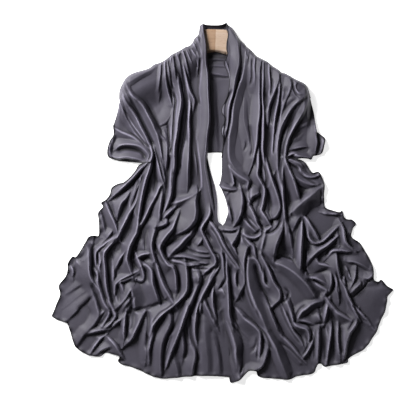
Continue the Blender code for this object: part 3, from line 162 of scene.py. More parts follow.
LEFT_FAN_FOLDS = tuple(Fold(*row) for row in (
    # Folds that spread from the underarm
    (10, 11, 5, 11, 7, (-178, 96, -197, 78, -215, 60, -232, 43, -250, 27, -266, 14)),
    (3, 9, 4, 9, 8, (-218, 31, -231, 14, -243, 1, -249, -16, -252, -37)),
    (5, 9, 5, 6, 5, (-194, 64, -202, 42, -210, 21, -216, 4, -225, -14)),
    (4, 10, 9, 7, 6, (-201, 15, -211, -6, -222, -24, -232, -44, -241, -63, -250, -81)),
    (9, 12, 7, 8, 7, (-250, -81, -263, -94, -274, -107, -284, -128, -281, -165, -276, -205,
     -268, -243)),
    (7, 9, 5, 6, 6, (-268, -243, -261, -259, -256, -272, -268, -289, -281, -298, -289, -295)),
    (9, 13, 10, 9, 7, (-170, 107, -175, 85, -185, 50, -193, 12, -199, -22, -204, -56)),
    (10, 13, 8, 9, 8, (-204, -56, -207, -74, -217, -91, -224, -108, -228, -130, -223, -150,
     -218, -170)),
    (7, 9, 4, 7, 7, (-223, -101, -234, -117, -244, -133, -253, -147, -259, -157)),
    (5, 11, 8, 7, 7, (-142, 47, -153, 34, -162, 15, -172, -6, -184, -30, -201, -56)),
    (6, 9, 6, 6, 7, (-162, 128, -158, 107, -152, 86, -146, 66, -141, 47)),
    (4, 10, 7, 10, 9, (-146, 28, -148, 3, -150, -22, -155, -48)),
    (7, 12, 8, 12, 8, (-158, -45, -163, -72, -170, -102, -166, -122, -158, -148, -151, -172)),
    (8, 11, 8, 7, 8, (-151, -172, -142, -192, -133, -211, -125, -228, -116, -243)),
    # The deep channel and the crests between it and the neck opening
    (4, 9, 5, 9, 9, (-137, 152, -133, 132, -134, 108, -137, 84), 1.8),
    (4, 8, 6, 4, 5, (-80, 250, -79, 225, -79, 195, -79, 165, -80, 140)),
    (3, 11, 6, 12, 8, (-80, 150, -82, 115, -84, 80, -86, 35), 1.8),
    (3, 7, 4, 5, 6, (-61, 150, -57, 120, -52, 90, -50, 60, -48, 30)),
    (5, 9, 4, 5, 6, (-117, -11, -127, -22, -138, -32, -143, -38)),
    (4, 10, 6, 26, 8, (-137, -34, -136, -48, -150, -56, -161, -62)),
    (6, 9, 7, 5, 16, (-61, 26, -78, 14, -96, 6, -114, 2)),
    (7, 14, 8, 34, 9, (-62, 22, -66, 4, -66, -22, -69, -42, -80, -56, -98, -67), 1.6),
    (5, 12, 10, 8, 9, (-108, -29, -114, -46, -120, -62, -134, -77, -144, -91, -149, -106)),
    (10, 13, 8, 8, 8, (-149, -106, -145, -121, -138, -137, -129, -148, -118, -154, -111, -173,
     -110, -203)),
    # The crests left of the tangle below the neck opening
    (6, 12, 7, 7, 12, (-76, -69, -90, -84, -103, -100, -115, -112, -125, -123)),
    (4, 7, 5, 5, 5, (-118, -128, -96, -128, -76, -131, -61, -134)),
    (4, 6, 4, 5, 5, (-110, -139, -98, -142, -84, -150, -64, -147)),
    (6, 13, 9, 12, 7, (-90, -145, -87, -165, -85, -188, -86, -208, -95, -224, -113, -241)),
    (10, 13, 9, 14, 7, (-113, -241, -131, -255, -146, -267, -159, -281, -168, -295, -173, -311)),
    (7, 9, 5, 6, 7, (-169, -300, -168, -318, -173, -338, -178, -356, -178, -375)),
    (4, 6, 3, 5, 5, (-73, -109, -60, -115, -42, -118, -23, -118)),
    (3, 5, 3, 5, 5, (-72, -121, -55, -126, -38, -128, -24, -127)),
    (3, 5, 3, 6, 5, (-60, -140, -45, -142, -32, -144)),
    (3, 9, 4, 16, 9, (-62, -164, -57, -178, -60, -194), 1.7),
    (4, 9, 6, 5, 5, (-31, -10, -31, -26, -38, -40, -46, -52, -50, -63, -46, -78)),
    (6, 9, 6, 5, 5, (-46, -78, -36, -97, -27, -114, -19, -131, -19, -147, -31, -158)),
    (3, 6, 2, 4, 4, (-47, -80, -53, -93, -61, -104)),
    (5, 9, 6, 6, 6, (-9, -152, -21, -171, -33, -190, -44, -211, -51, -228, -53, -250)),
    (6, 13, 7, 9, 8, (-60, -198, -71, -222, -83, -250, -93, -277, -102, -301, -112, -327, -133, -385)),
    (5, 10, 5, 7, 8, (-52, -234, -62, -257, -66, -283, -66, -313, -63, -345)),
    (4, 8, 3, 6, 7, (-44, -234, -35, -254, -26, -273, -16, -297)),
    (4, 7, 3, 5, 5, (-23, -208, -23, -232, -21, -254, -17, -275)),
    (3, 7, 5, 20, 20, (-46, -285, -42, -335, -38, -375, -38, -413), 2.0),
    (3, 5, 4, 12, 12, (-24, -325, -15, -360, -10, -410), 2.0),
    (4, 10, 6, 16, 7, (-73, -338, -64, -364, -70, -389, -76, -413), 1.7),
    (4, 8, 3, 8, 9, (-101, -298, -96, -330, -95, -355, -98, -375), 1.8),
    (5, 11, 7, 12, 9, (-131, -258, -125, -280, -134, -309, -144, -334, -148, -365, -148, -402), 1.8),
    (3, 6, 5, 14, 12, (-118, -370, -112, -395, -110, -416), 2.0),
    # The lower left flap and its crests
    (5, 10, 5, 6, 6, (-234, -256, -234, -282, -236, -306, -236, -329)),
    (4, 11, 6, 16, 7, (-188, -262, -199, -284, -208, -305, -216, -322, -232, -339)),
    (4, 8, 4, 8, 6, (-185, -304, -184, -330, -184, -355, -186, -378)),
    (4, 7, 4, 5, 5, (-236, -268, -247, -283, -264, -299)),
    (8, 10, 7, 8, 7, (-306, -160, -299, -171, -298, -193, -291, -217, -281, -242, -271, -262,
     -289, -294)),
    (5, 8, 5, 6, 6, (-252, -70, -266, -85, -283, -98, -299, -113, -305, -132, -304, -156)),
    (5, 9, 6, 5, 6, (-296, -120, -290, -135, -296, -154, -284, -172)),
    (5, 10, 7, 11, 6, (-281, 2, -272, -16, -263, -34, -255, -54, -249, -77)),
    (4, 7, 4, 8, 6, (-262, -62, -270, -72, -279, -84)),
    (5, 14, 9, 34, 7, (-312, -91, -317, -115, -319, -143, -317, -165, -309, -186, -297, -208), 1.6),
    (6, 9, 4, 15, 9, (-318, -196, -311, -217, -302, -238, -297, -266, -309, -290, -331, -314,
     -350, -341), 1.6),
    (4, 7, 4, 5, 5, (-281, -252, -290, -265, -300, -278)),
    (6, 6, 3, 26, 6, (-312, -218, -329, -236, -346, -253, -360, -267, -373, -281), 1.6),
    (4, 3, 1, 9, 7, (-303, -178, -325, -172, -348, -166, -368, -166), 1.8),
    (4, 3, 1, 8, 7, (-306, -186, -328, -190, -350, -200, -372, -214, -388, -226), 1.8),
    (4, 3, 1, 9, 8, (-306, -196, -326, -208, -348, -224, -370, -242, -392, -258), 1.8),
    (5, 9, 5, 6, 10, (-331, -316, -314, -310, -298, -306, -276, -302)),
    (4, 8, 4, 7, 6, (-284, -318, -296, -328, -306, -341, -316, -358)),
    (4, 10, 6, 9, 6, (-276, -322, -264, -333, -254, -344, -243, -361)),
    (4, 7, 4, 9, 8, (-302, -362, -289, -352, -277, -345, -260, -340)),
    (3, 6, 3, 8, 6, (-366, -148, -358, -163, -359, -178)),
    (3, 7, 4, 7, 8, (-352, -136, -343, -148, -336, -160)),
    (4, 7, 4, 6, 8, (-291, -28, -286, -48, -284, -68)),
    # Hooks and blades in the middle of the left fan
    (6, 9, 5, 6, 7, (-206, -128, -198, -144, -191, -159, -188, -174, -191, -184, -204, -182)),
    (6, 9, 7, 5, 9, (-203, -130, -190, -122, -176, -119, -165, -118)),
    (5, 12, 7, 14, 7, (-190, -147, -177, -153, -169, -165, -168, -192, -161, -214, -154, -239), 1.6),
    (4, 8, 5, 5, 5, (-258, -208, -256, -195, -247, -185, -233, -178, -217, -171, -200, -163)),
    (5, 8, 4, 5, 8, (-203, -169, -220, -176, -236, -184, -246, -190, -240, -204, -236, -219)),
    (5, 10, 6, 9, 9, (-256, -252, -241, -238, -228, -224, -218, -208, -212, -224, -210, -246)),
    (4, 10, 5, 8, 14, (-214, -223, -224, -236, -232, -248, -233, -262)),
    (3, 6, 3, 6, 6, (-265, -148, -262, -168, -263, -190)),
    (2, 6, 2, 7, 7, (-190, -86, -189, -100, -192, -116), 1.8),
))

RIGHT_YOKE_FOLDS = tuple(Fold(*row) for row in (
    # The lapel and its waved inner edge
    (7, 11, 5, 12, 9, (26, 408, 36, 376, 37, 342, 32, 308, 26, 276, 19, 246, 13, 215, 11, 185,
     10, 160), 2.0),
    (4, 8, 4, 6, 6, (8, 334, 16, 312, 18, 288, 13, 264, 4, 240)),
    (4, 6, 3, 5, 5, (4, 205, 6, 190, 1, 172, 4, 152, 6, 132)),
    (4, 6, 4, 5, 20, (56, 370, 53, 340, 48, 305, 40, 281, 31, 255, 25, 225, 21, 190, 16, 155, 14, 125,
     18, 100, 30, 82, 44, 70)),
    # Gathers along the shoulder
    (4, 6, 2, 5, 4, (63, 366, 59, 350, 58, 332)),
    (5, 8, 3, 9, 6, (76, 353, 74, 325, 76, 298, 76, 262), 1.8),
    (5, 11, 5, 9, 5, (91, 345, 88, 318, 88, 285, 89, 245, 88, 210, 84, 175, 80, 140, 74, 108,
     64, 78), 1.7),
    (1, 3, 2, 10, 12, (50, 250, 50, 205, 58, 163, 65, 115, 63, 75), 1.9),
    (4, 9, 5, 4, 5, (98, 342, 95, 310, 95, 265, 96, 225, 99, 180, 96, 134, 99, 97, 101, 60)),
    (5, 8, 4, 5, 5, (111, 335, 110, 312, 112, 290, 115, 272)),
    (5, 9, 6, 9, 7, (133, 318, 132, 298, 126, 276, 117, 252, 107, 226, 108, 198), 1.6),
    (5, 9, 5, 5, 5, (138, 312, 136, 285, 132, 245, 125, 205, 122, 170, 121, 140, 117, 106)),
    (5, 9, 5, 11, 8, (163, 301, 162, 282, 158, 264, 148, 244, 141, 219), 1.7),
    # Slanting folds from the shoulder to the underarm
    (3, 7, 5, 12, 7, (178, 292, 170, 278, 176, 262, 192, 258), 1.8),
    (5, 11, 6, 11, 9, (200, 264, 188, 250, 172, 236, 158, 218, 146, 199, 137, 176, 132, 145, 130, 112,
     131, 78, 137, 45), 1.7),
    (5, 10, 7, 7, 8, (203, 248, 194, 224, 182, 200, 168, 177, 156, 154, 148, 122, 148, 98)),
    (1, 3, 2, 10, 16, (216, 228, 205, 205, 192, 185, 178, 160), 1.9),
    (2, 5, 3, 6, 7, (207, 135, 186, 134, 158, 128)),
    (4, 9, 5, 12, 5, (220, 188, 223, 165, 225, 142, 221, 120), 1.8),
    (4, 7, 4, 5, 4, (240, 154, 239, 139, 236, 123)),
    (4, 8, 4, 5, 7, (157, 113, 169, 117, 183, 112, 205, 110)),
))

RIGHT_FAN_FOLDS = tuple(Fold(*row) for row in (
    # Folds that hang from the underarm
    (10, 13, 7, 9, 7, (150, 98, 157, 82, 167, 60, 173, 40, 181, 16, 186, 0)),
    (7, 9, 4, 5, 6, (158, 103, 172, 98, 186, 92, 194, 84)),
    (8, 11, 6, 6, 7, (144, 108, 143, 70, 143, 25, 147, -25, 151, -72)),
    (5, 13, 7, 10, 8, (105, 100, 111, 78, 119, 48, 131, 18, 137, -6, 129, -26, 117, -35), 1.7),
    (6, 11, 6, 7, 8, (86, 122, 84, 92, 82, 68, 92, 48, 99, 30, 96, 2, 92, -17)),
    (6, 9, 5, 6, 6, (92, -17, 101, -33, 109, -46, 115, -56)),
    # Crests beside the neck opening
    (5, 9, 4, 5, 12, (20, 82, 33, 71, 47, 61, 62, 49, 57, 28)),
    (4, 14, 6, 22, 7, (43, 30, 47, 6, 45, -20, 38, -38, 29, -51), 1.6),
    (4, 6, 3, 5, 5, (20, 76, 26, 60, 28, 46, 20, 35)),
    (4, 7, 3, 6, 6, (-4, 40, 10, 34, 24, 31, 37, 33)),
    (3, 8, 5, 10, 7, (15, -5, 17, -22, 22, -42), 1.7),
    (4, 10, 5, 16, 8, (92, 28, 80, 20, 70, 14, 63, 2), 1.6),
    (4, 8, 5, 6, 7, (48, -22, 53, -38, 62, -52, 74, -62, 81, -69)),
    (4, 10, 6, 10, 7, (62, -4, 70, -18, 77, -33, 86, -53, 97, -68)),
    (5, 8, 5, 6, 7, (47, -72, 60, -80, 75, -83, 89, -78, 99, -70)),
    (5, 9, 5, 10, 7, (50, -80, 62, -95, 72, -106, 76, -120, 81, -135)),
    (4, 7, 4, 6, 6, (103, -68, 112, -60, 120, -54)),
    # The tall facet and the leaf right of the middle
    (8, 15, 8, 34, 9, (143, -60, 133, -85, 124, -109, 121, -134), 1.5),
    (7, 11, 7, 6, 14, (101, -72, 95, -92, 90, -113)),
    (6, 14, 9, 8, 24, (122, -145, 145, -151, 168, -165, 188, -182, 204, -201, 216, -218), 1.6),
    (6, 11, 6, 9, 7, (92, -121, 103, -145, 113, -166, 122, -187, 134, -209, 134, -230, 119, -247)),
    (8, 15, 10, 7, 30, (60, -138, 58, -165, 61, -193, 71, -224, 82, -251, 94, -277, 104, -301), 1.6),
    (10, 13, 8, 8, 20, (104, -301, 115, -326, 126, -348, 138, -377, 150, -408), 1.6),
    (5, 8, 5, 5, 6, (62, -133, 76, -134, 87, -146, 93, -172)),
    (4, 7, 4, 5, 6, (97, -151, 96, -172, 99, -192, 117, -206)),
    (5, 11, 7, 16, 7, (98, -222, 108, -247, 119, -274, 130, -298, 140, -319), 1.6),
    (6, 9, 6, 10, 7, (140, -319, 156, -333, 172, -351, 190, -373)),
    (4, 10, 5, 10, 7, (142, -246, 151, -268, 161, -289, 172, -310, 185, -330, 199, -354)),
    (6, 12, 7, 7, 10, (154, -237, 162, -257, 171, -286, 185, -297, 201, -305, 207, -320, 203, -340)),
    (5, 9, 4, 7, 8, (218, -322, 210, -342, 200, -360, 192, -374)),
    (5, 10, 6, 6, 16, (238, -233, 220, -238, 201, -249, 187, -259, 176, -281)),
    (4, 6, 4, 5, 5, (175, -284, 192, -283, 217, -290)),
    (3, 8, 4, 10, 7, (226, -262, 231, -275, 237, -286), 1.7),
    # Crests that run out to the lower right hem
    (4, 10, 6, 8, 7, (231, -293, 228, -318, 228, -350, 228, -378), 1.7),
    (5, 11, 5, 6, 10, (253, -238, 248, -257, 243, -286)),
    (5, 10, 6, 8, 7, (262, -288, 260, -308, 256, -332, 248, -380)),
    (4, 9, 5, 9, 7, (275, -292, 275, -320, 278, -350, 280, -378), 1.7),
    (6, 10, 5, 8, 7, (251, -231, 262, -247, 273, -262, 291, -273, 312, -283)),
    (6, 12, 6, 14, 9, (322, -270, 316, -289, 303, -311, 296, -336, 289, -368), 1.7),
    (6, 11, 8, 7, 7, (283, -189, 293, -204, 300, -224, 309, -244, 323, -270)),
    (4, 7, 3, 5, 6, (312, -245, 326, -259, 340, -274, 357, -296)),
    (5, 9, 4, 6, 14, (302, -218, 314, -206, 326, -195, 335, -184)),
    (5, 9, 5, 6, 6, (267, -160, 271, -178, 276, -200, 279, -230)),
    (4, 12, 6, 18, 6, (270, -117, 273, -137, 276, -157, 281, -180), 1.6),
    (4, 7, 5, 8, 5, (221, -123, 229, -142, 247, -148, 270, -156)),
    (4, 11, 6, 10, 9, (200, -143, 214, -128, 234, -112, 253, -97, 272, -82)),
    (5, 9, 5, 3, 5, (202, -58, 205, -80, 218, -96, 233, -95, 248, -83, 264, -68, 276, -56)),
    (5, 11, 5, 10, 6, (193, -32, 205, -43, 214, -60, 223, -76, 231, -91), 1.7),
    (5, 11, 5, 10, 7, (282, -50, 289, -66, 292, -83, 298, -98, 313, -114)),
    (4, 9, 5, 6, 9, (313, -114, 297, -115, 279, -113, 262, -115, 252, -125)),
    (6, 14, 7, 8, 7, (190, -40, 189, -75, 187, -115, 184, -158), 1.7),
    (5, 13, 8, 7, 34, (238, 40, 222, 28, 205, 15, 190, 2, 168, -19), 1.6),
    (4, 8, 4, 12, 8, (186, -30, 177, -44, 169, -60), 1.7),
    (4, 8, 5, 7, 7, (184, 86, 190, 71, 203, 63, 218, 62, 231, 68)),
    (3, 9, 5, 12, 14, (164, 78, 179, 60, 198, 49, 218, 43, 237, 42), 1.7),
    (3, 6, 4, 6, 6, (238, -24, 256, -28, 279, -27)),
    (3, 8, 4, 6, 7, (204, -179, 221, -179, 237, -186, 251, -196)),
    (3, 7, 4, 6, 6, (220, -193, 236, -202, 249, -210, 242, -224)),
    (4, 10, 5, 7, 6, (258, -163, 259, -184, 256, -206)),
    (4, 8, 4, 6, 6, (319, -163, 317, -178, 309, -196, 300, -212)),
    (4, 7, 4, 6, 6, (299, -164, 305, -179, 313, -193)),
    (3, 8, 4, 8, 6, (291, -172, 290, -186, 296, -200)),
    (3, 7, 3, 12, 8, (296, -139, 316, -140, 332, -147, 348, -157), 1.8),
    (3, 6, 3, 7, 7, (336, -178, 350, -178, 360, -166)),
    (3, 8, 4, 10, 8, (150, -35, 155, -60, 160, -85, 165, -108), 1.7),
    # The strip right of the middle, down to the turned corner at the hem
    (5, 10, 8, 7, 7, (9, -140, 10, -170, 12, -205, 14, -240, 16, -270, 23, -300)),
    (6, 11, 7, 6, 20, (12, -289, 22, -317, 31, -345, 30, -368, 32, -392, 41, -420), 1.6),
    (5, 10, 5, 9, 8, (41, -263, 58, -280, 79, -297, 90, -312, 91, -335, 86, -373)),
    (3, 9, 6, 12, 6, (106, -322, 108, -345, 103, -367, 94, -390, 68, -403), 1.7),
    (4, 9, 5, 10, 7, (37, -68, 29, -85, 22, -101, 29, -114, 39, -141)),
    (6, 12, 6, 12, 8, (60, -100, 54, -122, 51, -146, 53, -175, 50, -198, 38, -220), 1.6),
    (3, 7, 4, 6, 6, (34, -155, 30, -175, 32, -195, 39, -214)),
    (9, 13, 8, 8, 7, (-22, -57, -9, -76, 2, -95, 11, -114, 24, -134, 37, -154, 46, -169)),
    (3, 8, 4, 9, 7, (-7, -203, 1, -212, 6, -228), 1.7),
    (3, 7, 4, 6, 6, (-14, -64, -6, -86, -2, -104, -4, -122, 2, -142, 4, -170, -8, -196)),
    (3, 6, 3, 5, 5, (5, -64, 20, -66, 36, -62)),
))

CREASES = tuple(Crease(*row) for row in (
    # Left yoke, from the collar to the sleeve
    (4, 2.5, (-59, 404, -53, 387)),
    (5, 2.5, (-70, 389, -59, 369, -53, 350)),
    (5, 2.5, (-81, 374, -70, 348, -61, 326)),
    (6, 3, (-92, 371, -83, 339, -74, 309, -61, 262, -56, 240)),
    (6, 3.2, (-53, 345, -56, 310, -60, 275, -62, 250, -66, 220, -67, 185, -69, 160, -65, 135,
     -60, 105, -57, 76, -56, 50, -57, 25)),
    (6, 3, (-101, 355, -96, 320, -91, 285, -87, 260, -86, 225, -87, 185, -93, 150, -100, 113,
     -102, 84)),
    (5, 2.5, (-115, 352, -111, 322, -108, 296)),
    (5, 2.5, (-128, 343, -124, 309, -119, 275)),
    (5, 2.5, (-143, 335, -145, 309, -150, 266)),
    (6, 3, (-116, 262, -112, 243, -115, 215, -118, 165, -123, 120)),
    (6, 4, (-126, 110, -129, 80, -131, 50, -134, 25, -141, -5, -146, -27)),
    (5, 3, (-131, 187, -128, 160, -123, 130)),
    (5, 4, (-229, 270, -208, 227, -182, 176, -165, 141)),
    (5, 3, (-244, 253, -225, 201, -195, 154, -173, 132)),
    (4, 6, (-208, 262, -185, 240, -169, 219, -152, 176)),
    (5, 3, (-258, 184, -240, 173, -225, 167, -210, 160, -195, 147, -185, 137)),
    (5, 4, (-271, 154, -265, 140)),
    (5, 5, (-248, 125, -230, 130, -208, 127, -193, 121, -184, 104)),
    (4, 2, (-176, 130, -172, 120, -173, 110, -178, 100)),
    # Left flank below the arm
    (3, 5, (-190, 92, -206, 80, -221, 62, -236, 48, -251, 42, -265, 32, -268, 17, -283, 4)),
    (5, 3.8, (-187, 87, -200, 68, -215, 50, -230, 33, -245, 20, -258, 9)),
    (5, 3.8, (-199, 52, -206, 30, -213, 10, -219, -5)),
    (5, 7.5, (-231, 0, -237, -20, -244, -38, -248, -50)),
    (5, 3.8, (-189, 66, -194, 40, -199, 15, -203, -10, -206, -38)),
    (5, 5, (-163, 108, -161, 80, -159, 52, -163, 25)),
    (4, 3.1, (-145, 105, -140, 85, -134, 62)),
    (5, 5, (-116, 76, -118, 50, -117, 20, -119, -8)),
    (5, 7.5, (-168, 12, -178, -6, -188, -24, -198, -50)),
    (6, 11.2, (-213, -28, -218, -50, -230, -72, -242, -90)),
    (4, 2.5, (-255, -73, -275, -88, -291, -101)),
    (4, 2.5, (-250, -83, -268, -97, -286, -111)),
    (4, 3.8, (-270, 4, -264, -12, -259, -28)),
    (3, 6.2, (-288, -30, -285, -46, -283, -60, -290, -75)),
    (4, 8.8, (-322, -92, -308, -92, -298, -100)),
    (5, 6.2, (-176, -58, -182, -80, -186, -104)),
    # Lower left
    (3, 5, (-352, -134, -366, -150, -366, -168, -384, -196, -385, -224, -397, -252, -402, -268)),
    (4, 5, (-326, -112, -332, -126, -346, -135)),
    (3, 3.8, (-355, -154, -352, -165, -356, -176)),
    (6, 6.2, (-315, -95, -312, -120, -310, -145, -307, -167, -301, -180)),
    (5, 3.8, (-300, -118, -299, -136, -297, -152)),
    (6, 5, (-289, -118, -287, -145, -286, -168, -288, -192, -283, -212, -276, -234)),
    (6, 6.2, (-311, -195, -303, -218, -295, -240, -288, -257)),
    (6, 6.2, (-270, -122, -271, -150, -271, -180, -268, -210, -262, -238)),
    (6, 10, (-254, -98, -246, -110, -238, -122)),
    (5, 5, (-233, -116, -238, -132, -243, -148)),
    (6, 6.2, (-213, -102, -213, -122, -211, -142, -204, -156)),
    (6, 6.2, (-192, -134, -178, -132, -167, -138)),
    (5, 5, (-184, -155, -180, -172, -177, -190)),
    (6, 5, (-162, -142, -160, -170, -155, -195, -148, -215, -140, -233)),
    (5, 5, (-250, -197, -249, -218, -246, -236)),
    (4, 2.5, (-240, -185, -224, -178, -208, -170)),
    (5, 3.8, (-214, -225, -222, -238, -232, -252, -237, -268)),
    (5, 3.8, (-270, -252, -265, -266, -263, -277, -274, -288)),
    (5, 3.8, (-277, -268, -284, -281, -293, -292)),
    (4, 5, (-345, -256, -330, -241, -314, -226)),
    (3, 13.8, (-340, -292, -328, -272, -318, -256)),
    (5, 5, (-330, -319, -312, -316, -296, -314, -281, -311)),
    (5, 8.8, (-268, -309, -254, -305, -243, -294)),
    (5, 5, (-229, -268, -229, -290, -229, -310, -227, -325)),
    (5, 6.2, (-213, -262, -211, -276, -212, -291, -219, -306)),
    (6, 5, (-180, -262, -176, -282, -177, -302, -181, -322, -183, -345)),
    (6, 5, (-228, -263, -205, -257, -180, -252, -158, -244, -143, -236, -129, -230)),
    (5, 5, (-300, -325, -312, -338, -320, -352)),
    # Middle, left of the tangle
    (5, 3, (-160, -61, -142, -57, -126, -50, -119, -45)),
    (6, 4, (-162, -100, -155, -116, -147, -131, -139, -144)),
    (6, 5, (-143, -102, -139, -116, -133, -130, -124, -141)),
    (6, 5, (-138, -97, -120, -92, -104, -85, -90, -76, -78, -67)),
    (6, 7, (-53, 32, -48, 14, -46, -5, -51, -34, -60, -55, -68, -74)),
    (4, 5, (-80, -94, -75, -108, -62, -118)),
    (6, 5, (-110, -150, -107, -170, -103, -190, -102, -210, -109, -230)),
    (4, 2, (-118, -133, -100, -136, -84, -141, -69, -139)),
    (4, 2, (-72, -156, -52, -158, -34, -158)),
    (5, 5, (-79, -150, -77, -170, -74, -190, -75, -208, -85, -226)),
    (6, 6, (-22, -156, -38, -178, -52, -204, -62, -226, -68, -248, -73, -270)),
    (5, 2.5, (-53, -236, -58, -254, -60, -272)),
    (5, 3, (-8, -148, -20, -166, -30, -184)),
    (5, 4, (-16, -185, -23, -197, -31, -211, -34, -224)),
    (5, 4, (-36, -69, -31, -78, -27, -86)),
    (5, 2.5, (-26, -59, -15, -75, -8, -90, 0, -106, 10, -120, 20, -135, 33, -152)),
    (5, 3, (9, -86, 18, -101, 28, -118, 37, -135, 42, -150)),
    (4, 2.5, (4, -68, 19, -70, 34, -68)),
    (6, 4, (45, -58, 44, -74, 40, -89, 35, -101)),
    (5, 2.5, (-20, -119, -8, -125, -5, -139, -6, -156)),
    (5, 2.5, (5, -118, 5, -140, 6, -162, 8, -182, 0, -196, -7, -206)),
    (6, 8, (-6, -216, -11, -236, -8, -256)),
    (5, 3, (-36, -240, -28, -260, -22, -278)),
    (5, 3, (-118, -243, -133, -254, -148, -263, -159, -276, -169, -290)),
    # Bottom middle
    (6, 5, (-92, -240, -100, -264, -108, -285, -120, -302, -132, -318, -139, -342, -142, -368,
     -140, -398)),
    (4, 3, (-121, -318, -128, -340, -135, -364, -139, -385)),
    (6, 5, (-78, -245, -78, -272, -76, -298, -74, -320, -67, -340, -60, -358, -58, -378)),
    (4, 5, (-88, -300, -86, -325, -85, -348, -90, -370)),
    (2, 6, (-54, -262, -54, -292, -52, -330)),
    (6, 6, (0, -255, 3, -280, 8, -302, 13, -322, 19, -346, 25, -371, 32, -395, 37, -412)),
    (5, 6, (24, -252, 30, -268, 34, -284)),
    (4, 3, (24, -291, 36, -306, 48, -318, 61, -331)),
    (5, 3, (60, -367, 52, -380, 46, -396, 42, -410)),
    (5, 4, (66, -356, 75, -349, 81, -338, 83, -324)),
    (5, 2.5, (85, -332, 83, -353, 84, -371)),
    (4, 4, (97, -325, 97, -348, 92, -370)),
    (5, 3, (52, -271, 66, -281, 80, -292, 92, -302, 102, -314, 111, -331, 118, -349)),
    (3, 7, (112, -352, 118, -375, 124, -398)),
    # Right yoke
    (6, 2.5, (52, 370, 49, 350, 43, 305, 36, 285, 27, 258, 21, 232, 17, 200, 12, 168, 9, 150)),
    (5, 4, (22, 267, 13, 246, 8, 228, 8, 200, 6, 178)),
    (6, 5, (8, 158, 8, 140, 7, 120, 8, 100, 10, 80, 13, 62, 16, 48)),
    (4, 3, (58, 368, 60, 352)),
    (4, 3, (71, 342, 70, 320, 70, 300, 67, 283)),
    (5, 2.5, (92, 322, 91, 290, 91, 265, 92, 235, 91, 205, 90, 165, 90, 134, 94, 97)),
    (5, 3.5, (105, 335, 105, 300, 105, 265, 106, 240, 105, 224)),
    (5, 3, (118, 292, 117, 272, 115, 257)),
    (5, 3.5, (131, 268, 127, 240, 122, 216, 119, 190)),
    (5, 3, (138, 306, 140, 282, 139, 262, 138, 235, 134, 205, 129, 180, 125, 162)),
    (5, 6, (150, 272, 150, 258, 144, 242)),
    (5, 3, (164, 297, 168, 276, 173, 262, 179, 254)),
    (4, 5, (174, 247, 160, 235, 149, 220, 142, 204)),
    (5, 4, (180, 233, 172, 215, 165, 192, 157, 164, 149, 138, 145, 112)),
    (4, 6, (213, 214, 203, 203, 190, 190)),
    (4, 5, (197, 180, 186, 170, 176, 159)),
    (3, 5, (207, 129, 186, 127, 164, 126)),
    (5, 3, (173, 117, 165, 112, 158, 105)),
    (4, 4, (226, 166, 230, 150, 229, 135, 227, 122)),
    (5, 7, (108, 182, 111, 160, 109, 138, 112, 112, 117, 92, 123, 72)),
    (5, 2.5, (124, 165, 123, 142, 121, 118)),
    (4, 4, (66, 182, 70, 152, 72, 130, 68, 113)),
    (3, 3, (57, 146, 57, 136, 53, 127)),
    (5, 4, (91, 122, 95, 98, 102, 80, 107, 60, 104, 38)),
    (4, 2, (80, 112, 79, 88)),
    # Right of the neck opening
    (5, 4, (31, 60, 33, 48, 37, 36)),
    (6, 6, (57, 32, 56, 15, 54, -2, 49, -18)),
    (5, 3, (68, 48, 64, 32, 63, 15, 69, 4)),
    (6, 5, (93, 42, 92, 20, 90, 0, 85, -15, 88, -30, 94, -42)),
    (4, 3, (48, -20, 55, -38, 68, -52, 80, -62)),
    (4, 2.5, (64, -33, 75, -45, 86, -57)),
    (5, 3, (85, -44, 92, -55, 98, -66)),
    (5, 5, (107, 36, 113, 15, 116, -5, 113, -24, 118, -38, 120, -52)),
    (6, 4, (128, 78, 128, 56, 132, 36, 138, 14, 142, -8)),
    (5, 3, (145, 108, 142, 90, 141, 68, 144, 40)),
    (4, 7, (152, 84, 155, 58, 158, 30, 163, 2, 160, -25)),
    (4, 3, (16, 4, 20, -14, 25, -30, 25, -50)),
    (5, 4, (60, -72, 70, -77, 80, -75, 89, -65)),
    (5, 4, (46, -76, 53, -90, 62, -102)),
    (6, 5, (67, -104, 66, -116, 69, -127)),
    (5, 4, (94, -64, 97, -76, 93, -91, 89, -106, 88, -119)),
    (6, 3, (106, -71, 119, -69, 131, -59, 139, -44)),
    (4, 2.5, (102, -58, 113, -54)),
    # Right flank below the arm
    (4, 5, (162, 104, 178, 98, 192, 88, 203, 77, 214, 69, 229, 70)),
    (4, 3, (158, 96, 172, 88, 182, 80)),
    (4, 3, (186, 74, 196, 62, 211, 52, 226, 44)),
    (4, 9, (205, 30, 194, 18, 186, 4)),
    (3, 3, (241, 44, 229, 41, 214, 38)),
    (3, 2.5, (237, 30, 236, 5, 241, -12)),
    (3, 12, (217, 2, 217, -20, 232, -34, 244, -52)),
    (5, 4, (163, -22, 170, -33)),
    (6, 5, (192, -36, 184, -52, 177, -78, 175, -110, 173, -138)),
    (6, 4, (193, -37, 197, -58, 198, -90, 198, -120, 196, -150, 195, -172)),
    (5, 4, (161, -64, 164, -74)),
    (4, 3, (148, -40, 147, -62, 144, -80)),
    (5, 12, (134, -111, 150, -118, 164, -124)),
    (5, 4, (124, -128, 140, -131)),
    (5, 3, (211, -70, 217, -82, 225, -91)),
    (6, 4, (224, -104, 240, -98, 255, -88, 269, -77)),
    (4, 6, (204, -103, 209, -114, 206, -124)),
    (5, 4, (279, -60, 282, -80, 284, -101)),
    (5, 4, (305, -58, 300, -75, 301, -91, 309, -101)),
    (5, 4, (248, -128, 253, -115, 264, -107, 281, -107)),
    (5, 5, (284, -122, 287, -138, 282, -150)),
    (3, 3, (249, -26, 267, -31, 283, -33, 301, -42)),
    # Lower right
    (6, 5, (97, -122, 108, -133, 118, -146, 130, -158)),
    (6, 6, (80, -150, 84, -170, 90, -190, 98, -210, 106, -228, 114, -243)),
    (5, 4, (100, -156, 105, -174, 107, -193)),
    (5, 3, (112, -150, 120, -170, 128, -190, 136, -206)),
